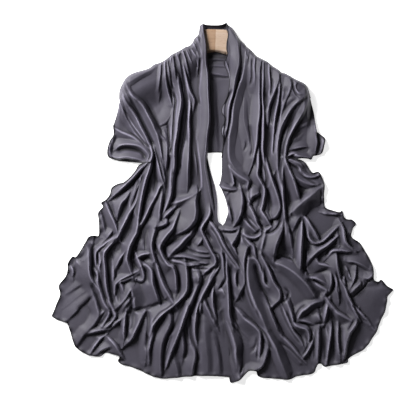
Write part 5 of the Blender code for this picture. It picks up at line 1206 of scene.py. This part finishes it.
def tube_mesh(name: str, rings: Array, outward: bool) -> bpy.types.Object:
    """A closed tube through rings of points.

    Args:
        name: the piece's name.
        rings: array of stations, points round a section, and x, y, z.
        outward: whether the rings run so that the faces point outwards; they are turned round if not.

    Returns:
        The tube, each end closed by a small fan of quads on its centre.
    """
    count, ring = rings.shape[:2]
    ends = rings[[0, -1]].mean(axis=1)
    points = np.vstack([rings.reshape(-1, 3), ends])
    index = np.arange(count * ring).reshape(count, ring)
    after = np.roll(index, -1, axis=1)
    sides = np.stack([index[:-1], after[:-1], after[1:], index[1:]], axis=-1).reshape(-1, 4)
    even = np.arange(0, ring, 2)
    centres = [np.full(len(even), count * ring + end) for end in (0, 1)]
    steps = (even, even + 1, (even + 2) % ring)
    first = np.stack([centres[0], *[index[0, step] for step in steps[::-1]]], axis=-1)
    last = np.stack([centres[1], *[index[-1, step] for step in steps]], axis=-1)
    quads = np.vstack([sides, first, last])
    if not outward:
        quads = quads[:, ::-1]
    pieces = np.linalg.norm(np.diff(rings.mean(axis=1), axis=0), axis=1)
    along = np.concatenate([[0], np.cumsum(pieces)]) * MM
    u = np.repeat(along, ring)
    v = np.tile(np.arange(ring) / ring, count)
    uv = np.vstack([np.stack([u, v], axis=-1), [[0, 0.5], [along[-1], 0.5]]])
    obj = mesh_object(name, points, quads, uv)
    sharpen(obj.data, index[[0, -1]])
    return obj


@dataclass
class LightMap:
    """Where the cloth lies deep in a fold, and where it stands up in a crest, from 0 to 1 each: how much
    painted shade and painted highlight the cloth's colour gets.

    The height of a square raster of points is compared with the same raster blurred by a Gauss bell, once
    by a wide one for whole folds and once by a narrow one for creases.
    """

    height: Callable[[Array, Array], Array]
    step: float = 1.5  # between the raster's points
    low: tuple[float, float] = (-430.0, -450.0)  # its lower left corner
    count: tuple[int, int] = (576, 598)
    wide_blur: float = 8.0
    wide_depth: float = 11.0  # how far below its surroundings the painted shade is darkest
    narrow_blur: float = 2.4
    narrow_depth: float = 2.5
    crest_start: float = 0.3  # how far above its surroundings the painted highlight starts
    crest_rise: float = 1.0
    painted_shade: Array = field(init=False, repr=False)
    crest: Array = field(init=False, repr=False)

    def __post_init__(self) -> None:
        """Works out both maps."""
        across, along = (low + self.step * np.arange(count) for low, count in zip(self.low, self.count))
        z = self.height(*np.meshgrid(across, along))
        wide, narrow = self.blurred(z, self.wide_blur) - z, self.blurred(z, self.narrow_blur) - z
        self.painted_shade = np.clip(wide / self.wide_depth + narrow / self.narrow_depth, 0, 1)
        self.crest = np.clip((-narrow - self.crest_start) / self.crest_rise, 0, 1)

    def blurred(self, z: Array, width: float) -> Array:
        """The raster folded with a Gauss bell of this width, in millimetres, by Fourier transform."""
        across = np.fft.rfftfreq(z.shape[1], self.step)
        along = np.fft.fftfreq(z.shape[0], self.step)
        spectrum = np.exp(-2 * (math.pi * width) ** 2 * (along[:, None] ** 2 + across[None] ** 2))
        return np.fft.irfft2(np.fft.rfft2(z) * spectrum, z.shape)

    def at(self, values: Array, x: Array, y: Array) -> Array:
        """A map's value at plan points, read between the raster's four nearest ones."""
        u, v = (x - self.low[0]) / self.step, (y - self.low[1]) / self.step
        i = np.clip(u.astype(int), 0, self.count[0] - 2)
        j = np.clip(v.astype(int), 0, self.count[1] - 2)
        a, b = u - i, v - j
        lower = (1 - a) * values[j, i] + a * values[j, i + 1]
        return (1 - b) * lower + b * ((1 - a) * values[j + 1, i] + a * values[j + 1, i + 1])


@dataclass
class Stretch:
    """One stretch of the jersey between four edges that meet at their corners.

    Its plan is a Coons patch: the sheet ruled from top edge to bottom edge, plus the one ruled from left to
    right, less the one through the four corners. Its height comes from the relief.
    """

    name: str
    node: str
    top: Points
    bottom: tuple[tuple[Points, int], ...]  # its edges from left to right, each with its count of columns
    left: Points
    right: Points
    rows: int
    flat: tuple[float, float]  # size of the flat cloth, in metres
    held: str
    rests_on: tuple[str, ...] = ()  # nodes that carry it; with none it lies on the table
    close_rows: float = 1.0  # above 1 brings rows closer together at the top edge
    layer: Layer = Layer.FRONT
    hems: tuple[Points, ...] = ()  # the edges that frill
    frill_height: float = 3.0
    frill_pitch: float = 27.0
    frill_unrest: float = 2.2  # how far the waves stray from an even pitch, in radians
    frill_reach: float = 6.0  # how far they run into the cloth
    hem_width: float = 3.6  # over which painted shade darkens the cloth towards a hem
    edge_width: float = 4.5  # and over which painted shade darkens it towards the shoulder edge, half as dark
    painted_wood_shadow: tuple[float, float] = (351.0, 13.0)  # y and half width of the painted shadow under the wood
    slope_step: float = 0.8
    lowest: float = 0.01  # the underside stays above the table by this much
    grid: Array = field(default=None, repr=False)

    def plan(self) -> Array:
        """Plan points, rows from top to bottom and columns from left to right."""
        parts = [along_edge(points, np.linspace(0, 1, count)) for points, count in self.bottom]
        bottom = np.vstack([parts[0], *[part[1:] for part in parts[1:]]])
        u, v = np.linspace(0, 1, len(bottom)), np.linspace(0, 1, self.rows) ** self.close_rows
        top = along_edge(self.top, u)
        left, right = along_edge(self.left, v), along_edge(self.right, v)
        u, v = u[None, :, None], v[:, None, None]
        ruled = (1 - v) * top[None] + v * bottom[None] + (1 - u) * left[:, None] + u * right[:, None]
        corners = (1 - u) * (1 - v) * top[0] + u * (1 - v) * top[-1]
        return ruled - corners - (1 - u) * v * bottom[0] - u * v * bottom[-1]

    def heights(self, x: Array, y: Array) -> Array:
        """Top of this stretch at plan points."""
        if self.layer is Layer.BACK:
            return RELIEF.back(x, y)
        if self.layer is Layer.OVER:
            return RELIEF.yoke(x, y) + self.frill(x, y)[0]
        return np.maximum(RELIEF.front(x, y), JERSEY + 0.1) + self.frill(x, y)[0]

    def frill(self, x: Array, y: Array) -> tuple[Array, Array]:
        """The small waves of a stretched hem: a sine along it that dies away inwards as a bell curve.

        Args:
            x, y: plan points.

        Returns:
            Height of the waves, and how near the hem is, from 0 to 1 on it.
        """
        rise, nearness = np.zeros_like(x), np.zeros_like(x)
        for edge in self.hems:
            line = smooth_line(edge, HEM_PIECES)
            length = line_length(line)
            distance, share = reach_of(line, x, y)
            at = share * length
            ends = ease(np.minimum(at, length - at) / self.frill_pitch)
            stray = self.frill_unrest * wander(x, y, 70, 6)
            wave = 0.5 + 0.5 * np.sin(2 * math.pi * at / self.frill_pitch + stray)
            rise = np.maximum(rise, self.frill_height * ends * wave * bell(distance / self.frill_reach))
            nearness = np.maximum(nearness, bell(distance / self.hem_width))
        return rise, nearness

    def normals(self) -> Array:
        """Normals of the grid: the cross product of its steps down and across.

        The row at the waist has those of the relief itself, so that no line shows between two stretches.
        """
        normal = unit(np.cross(np.gradient(self.grid, axis=0), np.gradient(self.grid, axis=1)))
        waist = {Layer.OVER: -1, Layer.FRONT: 0}.get(self.layer)
        if waist is not None:
            x, y, z = self.grid[waist].T
            step = self.slope_step
            slope_x = (self.heights(x + step, y) - self.heights(x - step, y)) / (2 * step)
            slope_y = (self.heights(x, y + step) - self.heights(x, y - step)) / (2 * step)
            normal[waist] = unit(np.stack([-slope_x, -slope_y, np.ones_like(z)], axis=-1))
        return normal

    def shade(self, mesh: bpy.types.Mesh, lights: LightMap) -> None:
        """Stores at each vertex its painted shade, from how deep in a fold it lies, and its painted
        highlight, from how high on a crest, for the finish to mix into the colour.

        Args:
            mesh: the sheet's mesh, its upper side first and its underside after it.
            lights: the maps that the values come from.
        """
        x, y = self.grid[..., 0], self.grid[..., 1]
        painted_shade, crest = lights.at(lights.painted_shade, x, y), lights.at(lights.crest, x, y)
        # Painted shade along the rounded shoulder edge, where the painted highlight is taken out
        if self.layer is not Layer.FRONT:
            edge = 1 - ease(UPPER_RIM.distance(x, y) / self.edge_width)
            painted_shade, crest = np.maximum(painted_shade, 0.5 * edge), crest * (1 - edge)
        # Painted shadow of the hanger's wood across the back panel
        if self.layer is Layer.BACK:
            middle, half_width = self.painted_wood_shadow
            painted_shade = np.maximum(painted_shade, bell((y - middle) / half_width))
        # Painted shade along the hems, where the painted highlight is taken out
        _, nearness = self.frill(x, y)
        painted_shade, crest = np.maximum(painted_shade, nearness), crest * (1 - nearness)
        for name, values in (("painted_shade", painted_shade), ("crest", crest)):
            attribute = mesh.attributes.new(name, "FLOAT", "POINT")
            attribute.data.foreach_set("value", np.tile(values.ravel(), 2).astype(np.float32))

    def build(self, finish: bpy.types.Material, lights: LightMap) -> bpy.types.Object:
        """The sheet: its upper side, the same moved in by the jersey's thickness, and a rim between them.

        Args:
            finish: the cloth's material.
            lights: where the cloth gets painted shade and painted highlight.

        Returns:
            The sheet's object.
        """
        plan = self.plan()
        self.grid = np.dstack([plan, self.heights(plan[..., 0], plan[..., 1])])
        rows, columns = self.grid.shape[:2]
        normal = self.normals()
        under = self.grid - normal * JERSEY
        under[..., 2] = np.maximum(under[..., 2], self.lowest)
        points = np.vstack([self.grid.reshape(-1, 3), under.reshape(-1, 3)])
        count = rows * columns
        index = np.arange(count).reshape(rows, columns)
        faces = grid_quads(rows, columns)
        around = np.concatenate([index[:, 0], index[-1, 1:], index[-2::-1, -1], index[0, -2:0:-1]])
        after = np.roll(around, -1)
        rim = np.stack([around, around + count, after + count, after], axis=-1)
        quads = np.vstack([faces, faces[:, ::-1] + count, rim])
        u, v = np.meshgrid(np.linspace(0, self.flat[0], columns), np.linspace(0, self.flat[1], rows))
        uv = np.tile(np.stack([u.ravel(), v.ravel()], axis=-1), (2, 1))
        obj = mesh_object(self.name, points, quads, uv)
        self.shade(obj.data, lights)
        corner, down, on = (points[rim[:, k]] for k in (0, 1, 3))
        outward = np.repeat(unit(np.cross(down - corner, on - corner))[:, None], 4, axis=1)
        upward = normal.reshape(-1, 3)
        corners = np.vstack([upward[faces], -upward[faces[:, ::-1]], outward])
        obj.data.normals_split_custom_set(corners.reshape(-1, 3).tolist())
        obj.data.materials.append(finish)
        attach(obj, "root")
        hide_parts(self.node)
        LOG.info("%s: %d by %d grid", self.name, rows, columns)
        return obj


@dataclass
class RolledHem:
    """The narrow rolled hem: a thin roll carried along an edge, wrapped by slanting overlock stitches.

    Its radius swells by a small share with each wrap, a sine of the distance along less the angle round.
    """

    name: str
    line: Array
    radius: float = 1.4
    swelling: float = 0.14
    pitch: float = STITCH
    step: float = 1.25  # between its rings
    ring: int = 8
    lowest: float = 0.02  # it stays above the table by this much

    def build(self, finish: bpy.types.Material) -> bpy.types.Object:
        """The roll along its line.

        Args:
            finish: the thread's material.

        Returns:
            The roll's object.
        """
        pieces = np.linalg.norm(np.diff(self.line, axis=0), axis=1)
        along = np.concatenate([[0], np.cumsum(pieces)])
        at = np.arange(0, along[-1], self.step)
        centre = np.stack([np.interp(at, along, self.line[:, k]) for k in range(3)], axis=-1)
        tangent = unit(np.gradient(centre, axis=0))
        across = unit(np.cross(tangent, [0, 0, 1.0]))
        up = np.cross(across, tangent)
        angle = 2 * math.pi * np.arange(self.ring) / self.ring
        wrap = np.sin(2 * math.pi * at[:, None] / self.pitch - angle)
        radius = self.radius * (1 + self.swelling * wrap)[..., None]
        spoke = np.cos(angle)[:, None] * across[:, None] + np.sin(angle)[:, None] * up[:, None]
        rings = centre[:, None] + radius * spoke
        rings[..., 2] = np.maximum(rings[..., 2], self.lowest)
        obj = tube_mesh(self.name, rings, False)
        obj.data.materials.append(finish)
        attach(obj, "root")
        return obj


def linear(hexadecimal: str) -> tuple[float, float, float, float]:
    """A linear colour from an sRGB one such as 5f5c68.

    Each channel c becomes c / 12.92 up to 0.04045, and ((c + 0.055) / 1.055) to the power of 2.4 above it.

    Args:
        hexadecimal: six digits, two for each of red, green and blue.

    Returns:
        Red, green, blue and an alpha of 1.
    """
    parts = [int(hexadecimal[k:k + 2], 16) / 255 for k in (0, 2, 4)]
    return (*[c / 12.92 if c <= 0.04045 else ((c + 0.055) / 1.055) ** 2.4 for c in parts], 1.0)


def new_material(name: str, values: dict[str, object]) -> tuple[bpy.types.Material, bpy.types.Node]:
    """A new material with its shader.

    Args:
        name: the material's name.
        values: what the shader's own sockets say, by name.

    Returns:
        The material, and its shader.
    """
    made = bpy.data.materials.new(name)
    made.use_nodes = True
    shader = made.node_tree.nodes["Principled BSDF"]
    for key, value in values.items():
        shader.inputs[key].default_value = value
    return made, shader


def add_node(
    tree: bpy.types.NodeTree, kind: str, settings: dict | None = None, links: dict | None = None
) -> bpy.types.Node:
    """Adds a shader node.

    Args:
        tree: the material's node tree.
        kind: the node's type name.
        settings: values by property name, or by input name or number where the node has no such property.
        links: for each input's name or number, the output socket that feeds it.

    Returns:
        The node.
    """
    node = tree.nodes.new(kind)
    for key, value in (settings or {}).items():
        if isinstance(key, str) and hasattr(node, key):
            setattr(node, key, value)
        else:
            node.inputs[key].default_value = value
    for key, socket in (links or {}).items():
        tree.links.new(socket, node.inputs[key])
    return node


def noise(tree: bpy.types.NodeTree, place: bpy.types.NodeSocket, **settings: float) -> bpy.types.NodeSocket:
    """Grey noise at a place.

    Args:
        tree: the material's node tree.
        place: the coordinates.
        settings: the noise's own inputs in small letters: scale, detail and roughness.

    Returns:
        The noise's value.
    """
    inputs = {key.capitalize(): value for key, value in settings.items()}
    return add_node(tree, "ShaderNodeTexNoise", inputs, {"Vector": place}).outputs[0]


def bands(
    tree: bpy.types.NodeTree, place: bpy.types.NodeSocket, pitch: float, **uneven: float
) -> bpy.types.NodeSocket:
    """Even bands across the first coordinate.

    Args:
        tree: the material's node tree.
        place: the coordinates, in metres.
        pitch: the bands' pitch, in millimetres. The texture's own is 2 pi / 20 at a scale of 1.
        uneven: the texture's own inputs in small letters: distortion and detail.

    Returns:
        The bands' value.
    """
    inputs = {key.capitalize(): value for key, value in uneven.items()}
    scale = 2 * math.pi / 20 / (pitch * MM)
    settings = {"wave_type": "BANDS", "bands_direction": "X", "Scale": scale, **inputs}
    return add_node(tree, "ShaderNodeTexWave", settings, {"Vector": place}).outputs[0]


def tones(
    tree: bpy.types.NodeTree, value: bpy.types.NodeSocket, low: tuple[float, str], high: tuple[float, str]
) -> bpy.types.NodeSocket:
    """A colour that changes with a value.

    Args:
        tree: the material's node tree.
        value: the value.
        low, high: a value and the sRGB colour at it.

    Returns:
        The colour.
    """
    ramp = add_node(tree, "ShaderNodeValToRGB", None, {0: value})
    for k, (position, colour) in enumerate((low, high)):
        ramp.color_ramp.elements[k].position, ramp.color_ramp.elements[k].color = position, linear(colour)
    return ramp.outputs[0]


def tinted(
    tree: bpy.types.NodeTree, share: bpy.types.NodeSocket, base: bpy.types.NodeSocket, tint: str
) -> bpy.types.NodeSocket:
    """A colour that turns into another one.

    Args:
        tree: the material's node tree.
        share: how much of the other colour shows, from 0 to 1.
        base: the colour to start from.
        tint: the other one, in sRGB.

    Returns:
        The mixed colour.
    """
    mix = {"data_type": "RGBA", 7: linear(tint)}
    return add_node(tree, "ShaderNodeMix", mix, {0: share, 6: base}).outputs[2]


@dataclass(frozen=True)
class JerseyFinish:
    """Cotton and elastane jersey, piece-dyed charcoal: matt, with a soft bloom where the light grazes it."""

    light: str = "423f4a"
    dark: str = "38353f"
    crest: str = "716d7c"  # painted highlight along the crests
    depth: str = "17151b"  # painted shade, deepest down in the folds
    bloom: str = "b9b4c4"
    wale: float = 1.5  # a real wale is about 0.8 mm, drawn coarser so that it shows

    def material(self) -> bpy.types.Material:
        """The knit: fine wales along the cloth, faint heathering and small crumples."""
        made, shader = new_material("charcoal_cotton_jersey", {
            "Roughness": 0.6,
            "Specular IOR Level": 0.38,
            "Sheen Weight": 0.15,
            "Sheen Roughness": 0.45,
            "Sheen Tint": linear(self.bloom),
        })
        tree = made.node_tree
        place = add_node(tree, "ShaderNodeTexCoord").outputs["Object"]
        cloth = add_node(tree, "ShaderNodeUVMap", {"uv_map": "surface"}).outputs[0]
        heather = noise(tree, place, scale=900.0, detail=3.0)
        patchy = noise(tree, place, scale=14.0, detail=4.0)
        half_of_first = {"operation": "MULTIPLY_ADD", 1: 0.5}
        both = add_node(tree, "ShaderNodeMath", half_of_first, {0: heather, 2: patchy}).outputs[0]
        dyed = tones(tree, both, (0.55, self.dark), (0.95, self.light))
        # Painted shade in the folds, along the edges and under the wood, and painted highlight on the
        # crests, mixed into the dyed colour
        painted_shade = add_node(tree, "ShaderNodeAttribute", {"attribute_name": "painted_shade"}).outputs["Fac"]
        crest = add_node(tree, "ShaderNodeAttribute", {"attribute_name": "crest"}).outputs["Fac"]
        with_painted_light = tinted(tree, crest, tinted(tree, painted_shade, dyed, self.depth), self.crest)
        tree.links.new(with_painted_light, shader.inputs["Base Color"])
        wales = bands(tree, cloth, self.wale, distortion=0.6, detail=1.0)
        crumple = noise(tree, place, scale=85.0, detail=3.0, roughness=0.55)
        soft = add_node(tree, "ShaderNodeBump", {"Strength": 0.12, "Distance": 0.0016}, {"Height": crumple})
        knit = add_node(
            tree, "ShaderNodeBump", {"Strength": 0.25, "Distance": 0.0003},
            {"Height": wales, "Normal": soft.outputs[0]},
        )
        tree.links.new(knit.outputs[0], shader.inputs["Normal"])
        return made


@dataclass(frozen=True)
class HemFinish:
    """Overlock thread, textured polyester dyed to match: darker than the cloth, being packed tight."""

    thread: str = "1d1b22"
    between: str = "0f0e12"

    def material(self) -> bpy.types.Material:
        """The stitches: dull bands across the roll, dark where one meets the next."""
        made, shader = new_material("overlocked_polyester_thread", {
            "Roughness": 0.7,
            "Specular IOR Level": 0.3,
        })
        tree = made.node_tree
        roll = add_node(tree, "ShaderNodeUVMap", {"uv_map": "surface"}).outputs[0]
        stitches = bands(tree, roll, STITCH)
        colours = {"data_type": "RGBA", 6: linear(self.between), 7: linear(self.thread)}
        tone = add_node(tree, "ShaderNodeMix", colours, {0: stitches})
        tree.links.new(tone.outputs[2], shader.inputs["Base Color"])
        bump = add_node(tree, "ShaderNodeBump", {"Strength": 0.3, "Distance": 0.0003}, {"Height": stitches})
        tree.links.new(bump.outputs[0], shader.inputs["Normal"])
        return made


@dataclass(frozen=True)
class BeechFinish:
    """Steamed beech under clear satin lacquer: pale pinkish brown, with fine grain along each arm."""

    name: str
    light: str = "8f7660"
    dark: str = "7f644e"
    fleck: str = "6b513e"
    grain: tuple[float, float, float] = (14.0, 150.0, 60.0)  # the noise's steps in a metre of x, y and z
    flecking: tuple[float, float, float] = (90.0, 1400.0, 900.0)

    def material(self) -> bpy.types.Material:
        """The wood: long soft bands, short darker flecks and a lacquer's low gloss."""
        made, shader = new_material(self.name, {
            "Roughness": 0.42,
            "Coat Weight": 0.25,
            "Coat Roughness": 0.25,
        })
        tree = made.node_tree
        place = {"Vector": add_node(tree, "ShaderNodeTexCoord").outputs["Object"]}
        long = add_node(tree, "ShaderNodeMapping", {"Scale": self.grain}, place).outputs[0]
        grain = noise(tree, long, scale=1.0, detail=6.0, roughness=0.6)
        tone = tones(tree, grain, (0.32, self.dark), (0.68, self.light))
        fine = add_node(tree, "ShaderNodeMapping", {"Scale": self.flecking}, place).outputs[0]
        flecks = noise(tree, fine, scale=1.0, detail=2.0)
        few = add_node(tree, "ShaderNodeMapRange", {1: 0.62, 2: 0.74}, {0: flecks}).outputs[0]
        tree.links.new(tinted(tree, few, tone, self.fleck), shader.inputs["Base Color"])
        bump = add_node(tree, "ShaderNodeBump", {"Strength": 0.15, "Distance": 0.0003}, {"Height": flecks})
        tree.links.new(bump.outputs[0], shader.inputs["Normal"])
        return made


@dataclass
class LaidHijab:
    """The five stretches of the cloth and their hems."""

    left_yoke: Stretch = field(default_factory=lambda: Stretch(
        name="left_yoke_cloth", node="left_yoke", layer=Layer.OVER,
        top=LEFT_SHOULDER, bottom=((LEFT_SLEEVE_HEM, 52), (LEFT_WAIST, 200)),
        left=LEFT_SLEEVE_END, right=LEFT_LAPEL, rows=176, close_rows=1.15,
        flat=(0.26, 0.34), held="draped", rests_on=("hanger_left_arm", "back_panel"),
        hems=(LEFT_SLEEVE_END[4:], LEFT_SLEEVE_HEM),
    ))
    right_yoke: Stretch = field(default_factory=lambda: Stretch(
        name="right_yoke_cloth", node="right_yoke", layer=Layer.OVER,
        top=RIGHT_SHOULDER, bottom=((RIGHT_WAIST, 200), (RIGHT_SLEEVE_HEM, 52)),
        left=RIGHT_LAPEL, right=RIGHT_SLEEVE_END, rows=176, close_rows=1.15,
        flat=(0.26, 0.34), held="draped", rests_on=("hanger_right_arm", "back_panel"),
        hems=(RIGHT_SLEEVE_END[5:], RIGHT_SLEEVE_HEM),
    ))
    left_fan: Stretch = field(default_factory=lambda: Stretch(
        name="left_fan_cloth", node="left_fan",
        top=LEFT_WAIST, bottom=((LEFT_HEM, 200),), left=LEFT_OUTER_EDGE, right=LEFT_INNER_EDGE, rows=240,
        flat=(0.45, 0.58), held="gathered", hems=(LEFT_OUTER_EDGE, LEFT_HEM),
    ))
    right_fan: Stretch = field(default_factory=lambda: Stretch(
        name="right_fan_cloth", node="right_fan",
        top=RIGHT_WAIST, bottom=((RIGHT_HEM, 200),), left=RIGHT_INNER_EDGE, right=RIGHT_OUTER_EDGE, rows=240,
        flat=(0.45, 0.58), held="gathered", hems=(RIGHT_OUTER_EDGE, RIGHT_HEM),
    ))
    back: Stretch = field(default_factory=lambda: Stretch(
        name="back_panel_cloth", node="back_panel", layer=Layer.BACK,
        top=LEFT_SHOULDER + NECK_RIM[1:] + RIGHT_SHOULDER[1:], bottom=((BACK_HEM, 190),),
        left=LEFT_SLEEVE_END, right=RIGHT_SLEEVE_END, rows=150, close_rows=1.4,
        flat=(0.50, 0.30), held="laid",
    ))
    sleeve_hems_below: tuple[float, float] = (187.0, 169.0)  # y where the left and the right one start
    back_hem: tuple[float, float] = (0.4, 0.62)  # the share of the back's lower edge that shows

    def build(self, finish: bpy.types.Material, thread: bpy.types.Material) -> None:
        """Builds the stretches in the jersey, then a rolled hem in its thread along each free edge.

        Args:
            finish: the jersey's material.
            thread: the hem's material.
        """
        front, behind = LightMap(RELIEF.front), LightMap(RELIEF.back)
        for stretch in (self.back, self.left_yoke, self.right_yoke, self.left_fan, self.right_fan):
            obj = stretch.build(finish, behind if stretch is self.back else front)
            hems = [
                RolledHem(f"{stretch.name}_hem_{side}", line).build(thread)
                for side, line in self.free_edges(stretch)
            ]

    def free_edges(self, stretch: Stretch) -> list[tuple[str, Array]]:
        """The edges of a stretch that end in a rolled hem, as lines on its grid.

        Args:
            stretch: a built stretch.

        Returns:
            A name and a line of points for each.
        """
        grid = stretch.grid - [0, 0, JERSEY / 2]
        left, right, bottom = grid[:, 0], grid[:, -1], grid[-1]
        columns = len(bottom)
        sleeve = columns * 3 // 10  # how many columns of a yoke end in a hem that shows
        if stretch is self.back:
            first, last = (int(share * columns) for share in self.back_hem)
            return [("bottom", bottom[first:last])]
        if stretch is self.left_yoke:
            return [("left", left[left[:, 1] < self.sleeve_hems_below[0]]), ("bottom", bottom[:sleeve])]
        if stretch is self.right_yoke:
            end = right[right[:, 1] < self.sleeve_hems_below[1]]
            return [("left", left), ("right", end), ("bottom", bottom[-sleeve:])]
        if stretch is self.left_fan:
            return [("left", left), ("bottom", bottom)]
        return [("right", right), ("bottom", bottom)]


@dataclass(frozen=True)
class Softbox:
    """A square lamp: where it hangs, its side in metres and its power in watts."""

    name: str
    place: tuple[float, float, float]
    size: float
    power: float

    def build(self) -> None:
        """Hangs it so that it faces the middle of the cloth."""
        data = bpy.data.lights.new(self.name, "AREA")
        data.size, data.energy = self.size, self.power
        lamp = bpy.data.objects.new(self.name, data)
        lamp.location = self.place
        x, y, z = self.place
        lamp.rotation_euler = (math.atan2(math.hypot(x, y), z), 0, math.atan2(x, -y))
        bpy.context.scene.collection.objects.link(lamp)


@dataclass
class Studio:
    """White table, soft light from the upper left and a camera that looks straight down."""

    aim: tuple[float, float] = (-54.0, 7.2)  # the middle of the picture, in millimetres
    view_width: float = 960.0
    distance: float = 3.0  # from camera to table, in metres
    sensor: float = 36.0
    table_size: float = 12.0
    table_top: float = -0.0005  # half a millimetre under the cloth
    paper: str = "f7f7f7"
    paper_glow: float = 0.7
    room_light: float = 0.05
    lamps: tuple[Softbox, ...] = (
        Softbox("window_softbox", (-1.4, 1.2, 1.2), 0.85, 125),
        Softbox("overhead_softbox", (0.4, -0.2, 3.2), 2.6, 6),
    )

    def build(self) -> None:
        """Table, lights, world and camera."""
        bpy.ops.mesh.primitive_plane_add(size=self.table_size, location=(0, 0, self.table_top))
        floor = bpy.context.object
        floor.name = "white_table"
        made, _ = new_material("matt_white_paper", {
            "Base Color": linear(self.paper),
            "Roughness": 0.9,
            "Emission Color": (1, 1, 1, 1),
            "Emission Strength": self.paper_glow,
        })
        floor.data.materials.append(made)
        for lamp in self.lamps:
            lamp.build()
        world = bpy.data.worlds.new("white_room")
        world.use_nodes = True
        world.node_tree.nodes["Background"].inputs[0].default_value = (1, 1, 1, 1)
        world.node_tree.nodes["Background"].inputs[1].default_value = self.room_light
        bpy.context.scene.world = world
        bpy.context.scene.view_settings.view_transform = "Standard"
        data = bpy.data.cameras.new("overhead_camera")
        data.sensor_width = self.sensor
        data.lens = self.sensor * self.distance / (self.view_width * MM)
        camera = bpy.data.objects.new("overhead_camera", data)
        camera.location = (self.aim[0] * MM, self.aim[1] * MM, self.distance)
        bpy.context.scene.collection.objects.link(camera)
        bpy.context.scene.camera = camera


def main() -> None:
    """Builds the cloth, the hanger and the studio, and logs each stretch of cloth and each arm."""
    logging.basicConfig(level=logging.INFO, format="%(name)s: %(message)s")
    LaidHijab().build(JerseyFinish().material(), HemFinish().material())
    arms = (
        (-1, "hanger_left_arm", BeechFinish("lacquered_steamed_beech")),
        (1, "hanger_right_arm", BeechFinish("paler_lacquered_beech", "a38f80", "99836f")),
    )
    for side, node, wood in arms:
        arm = HANGER.arm_mesh(side)
        arm.data.materials.append(wood.material())
        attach(arm, "root")
        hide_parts(node)
        LOG.info("%s built", arm.name)
    Studio().build()


if __name__ == "__main__":
    main()
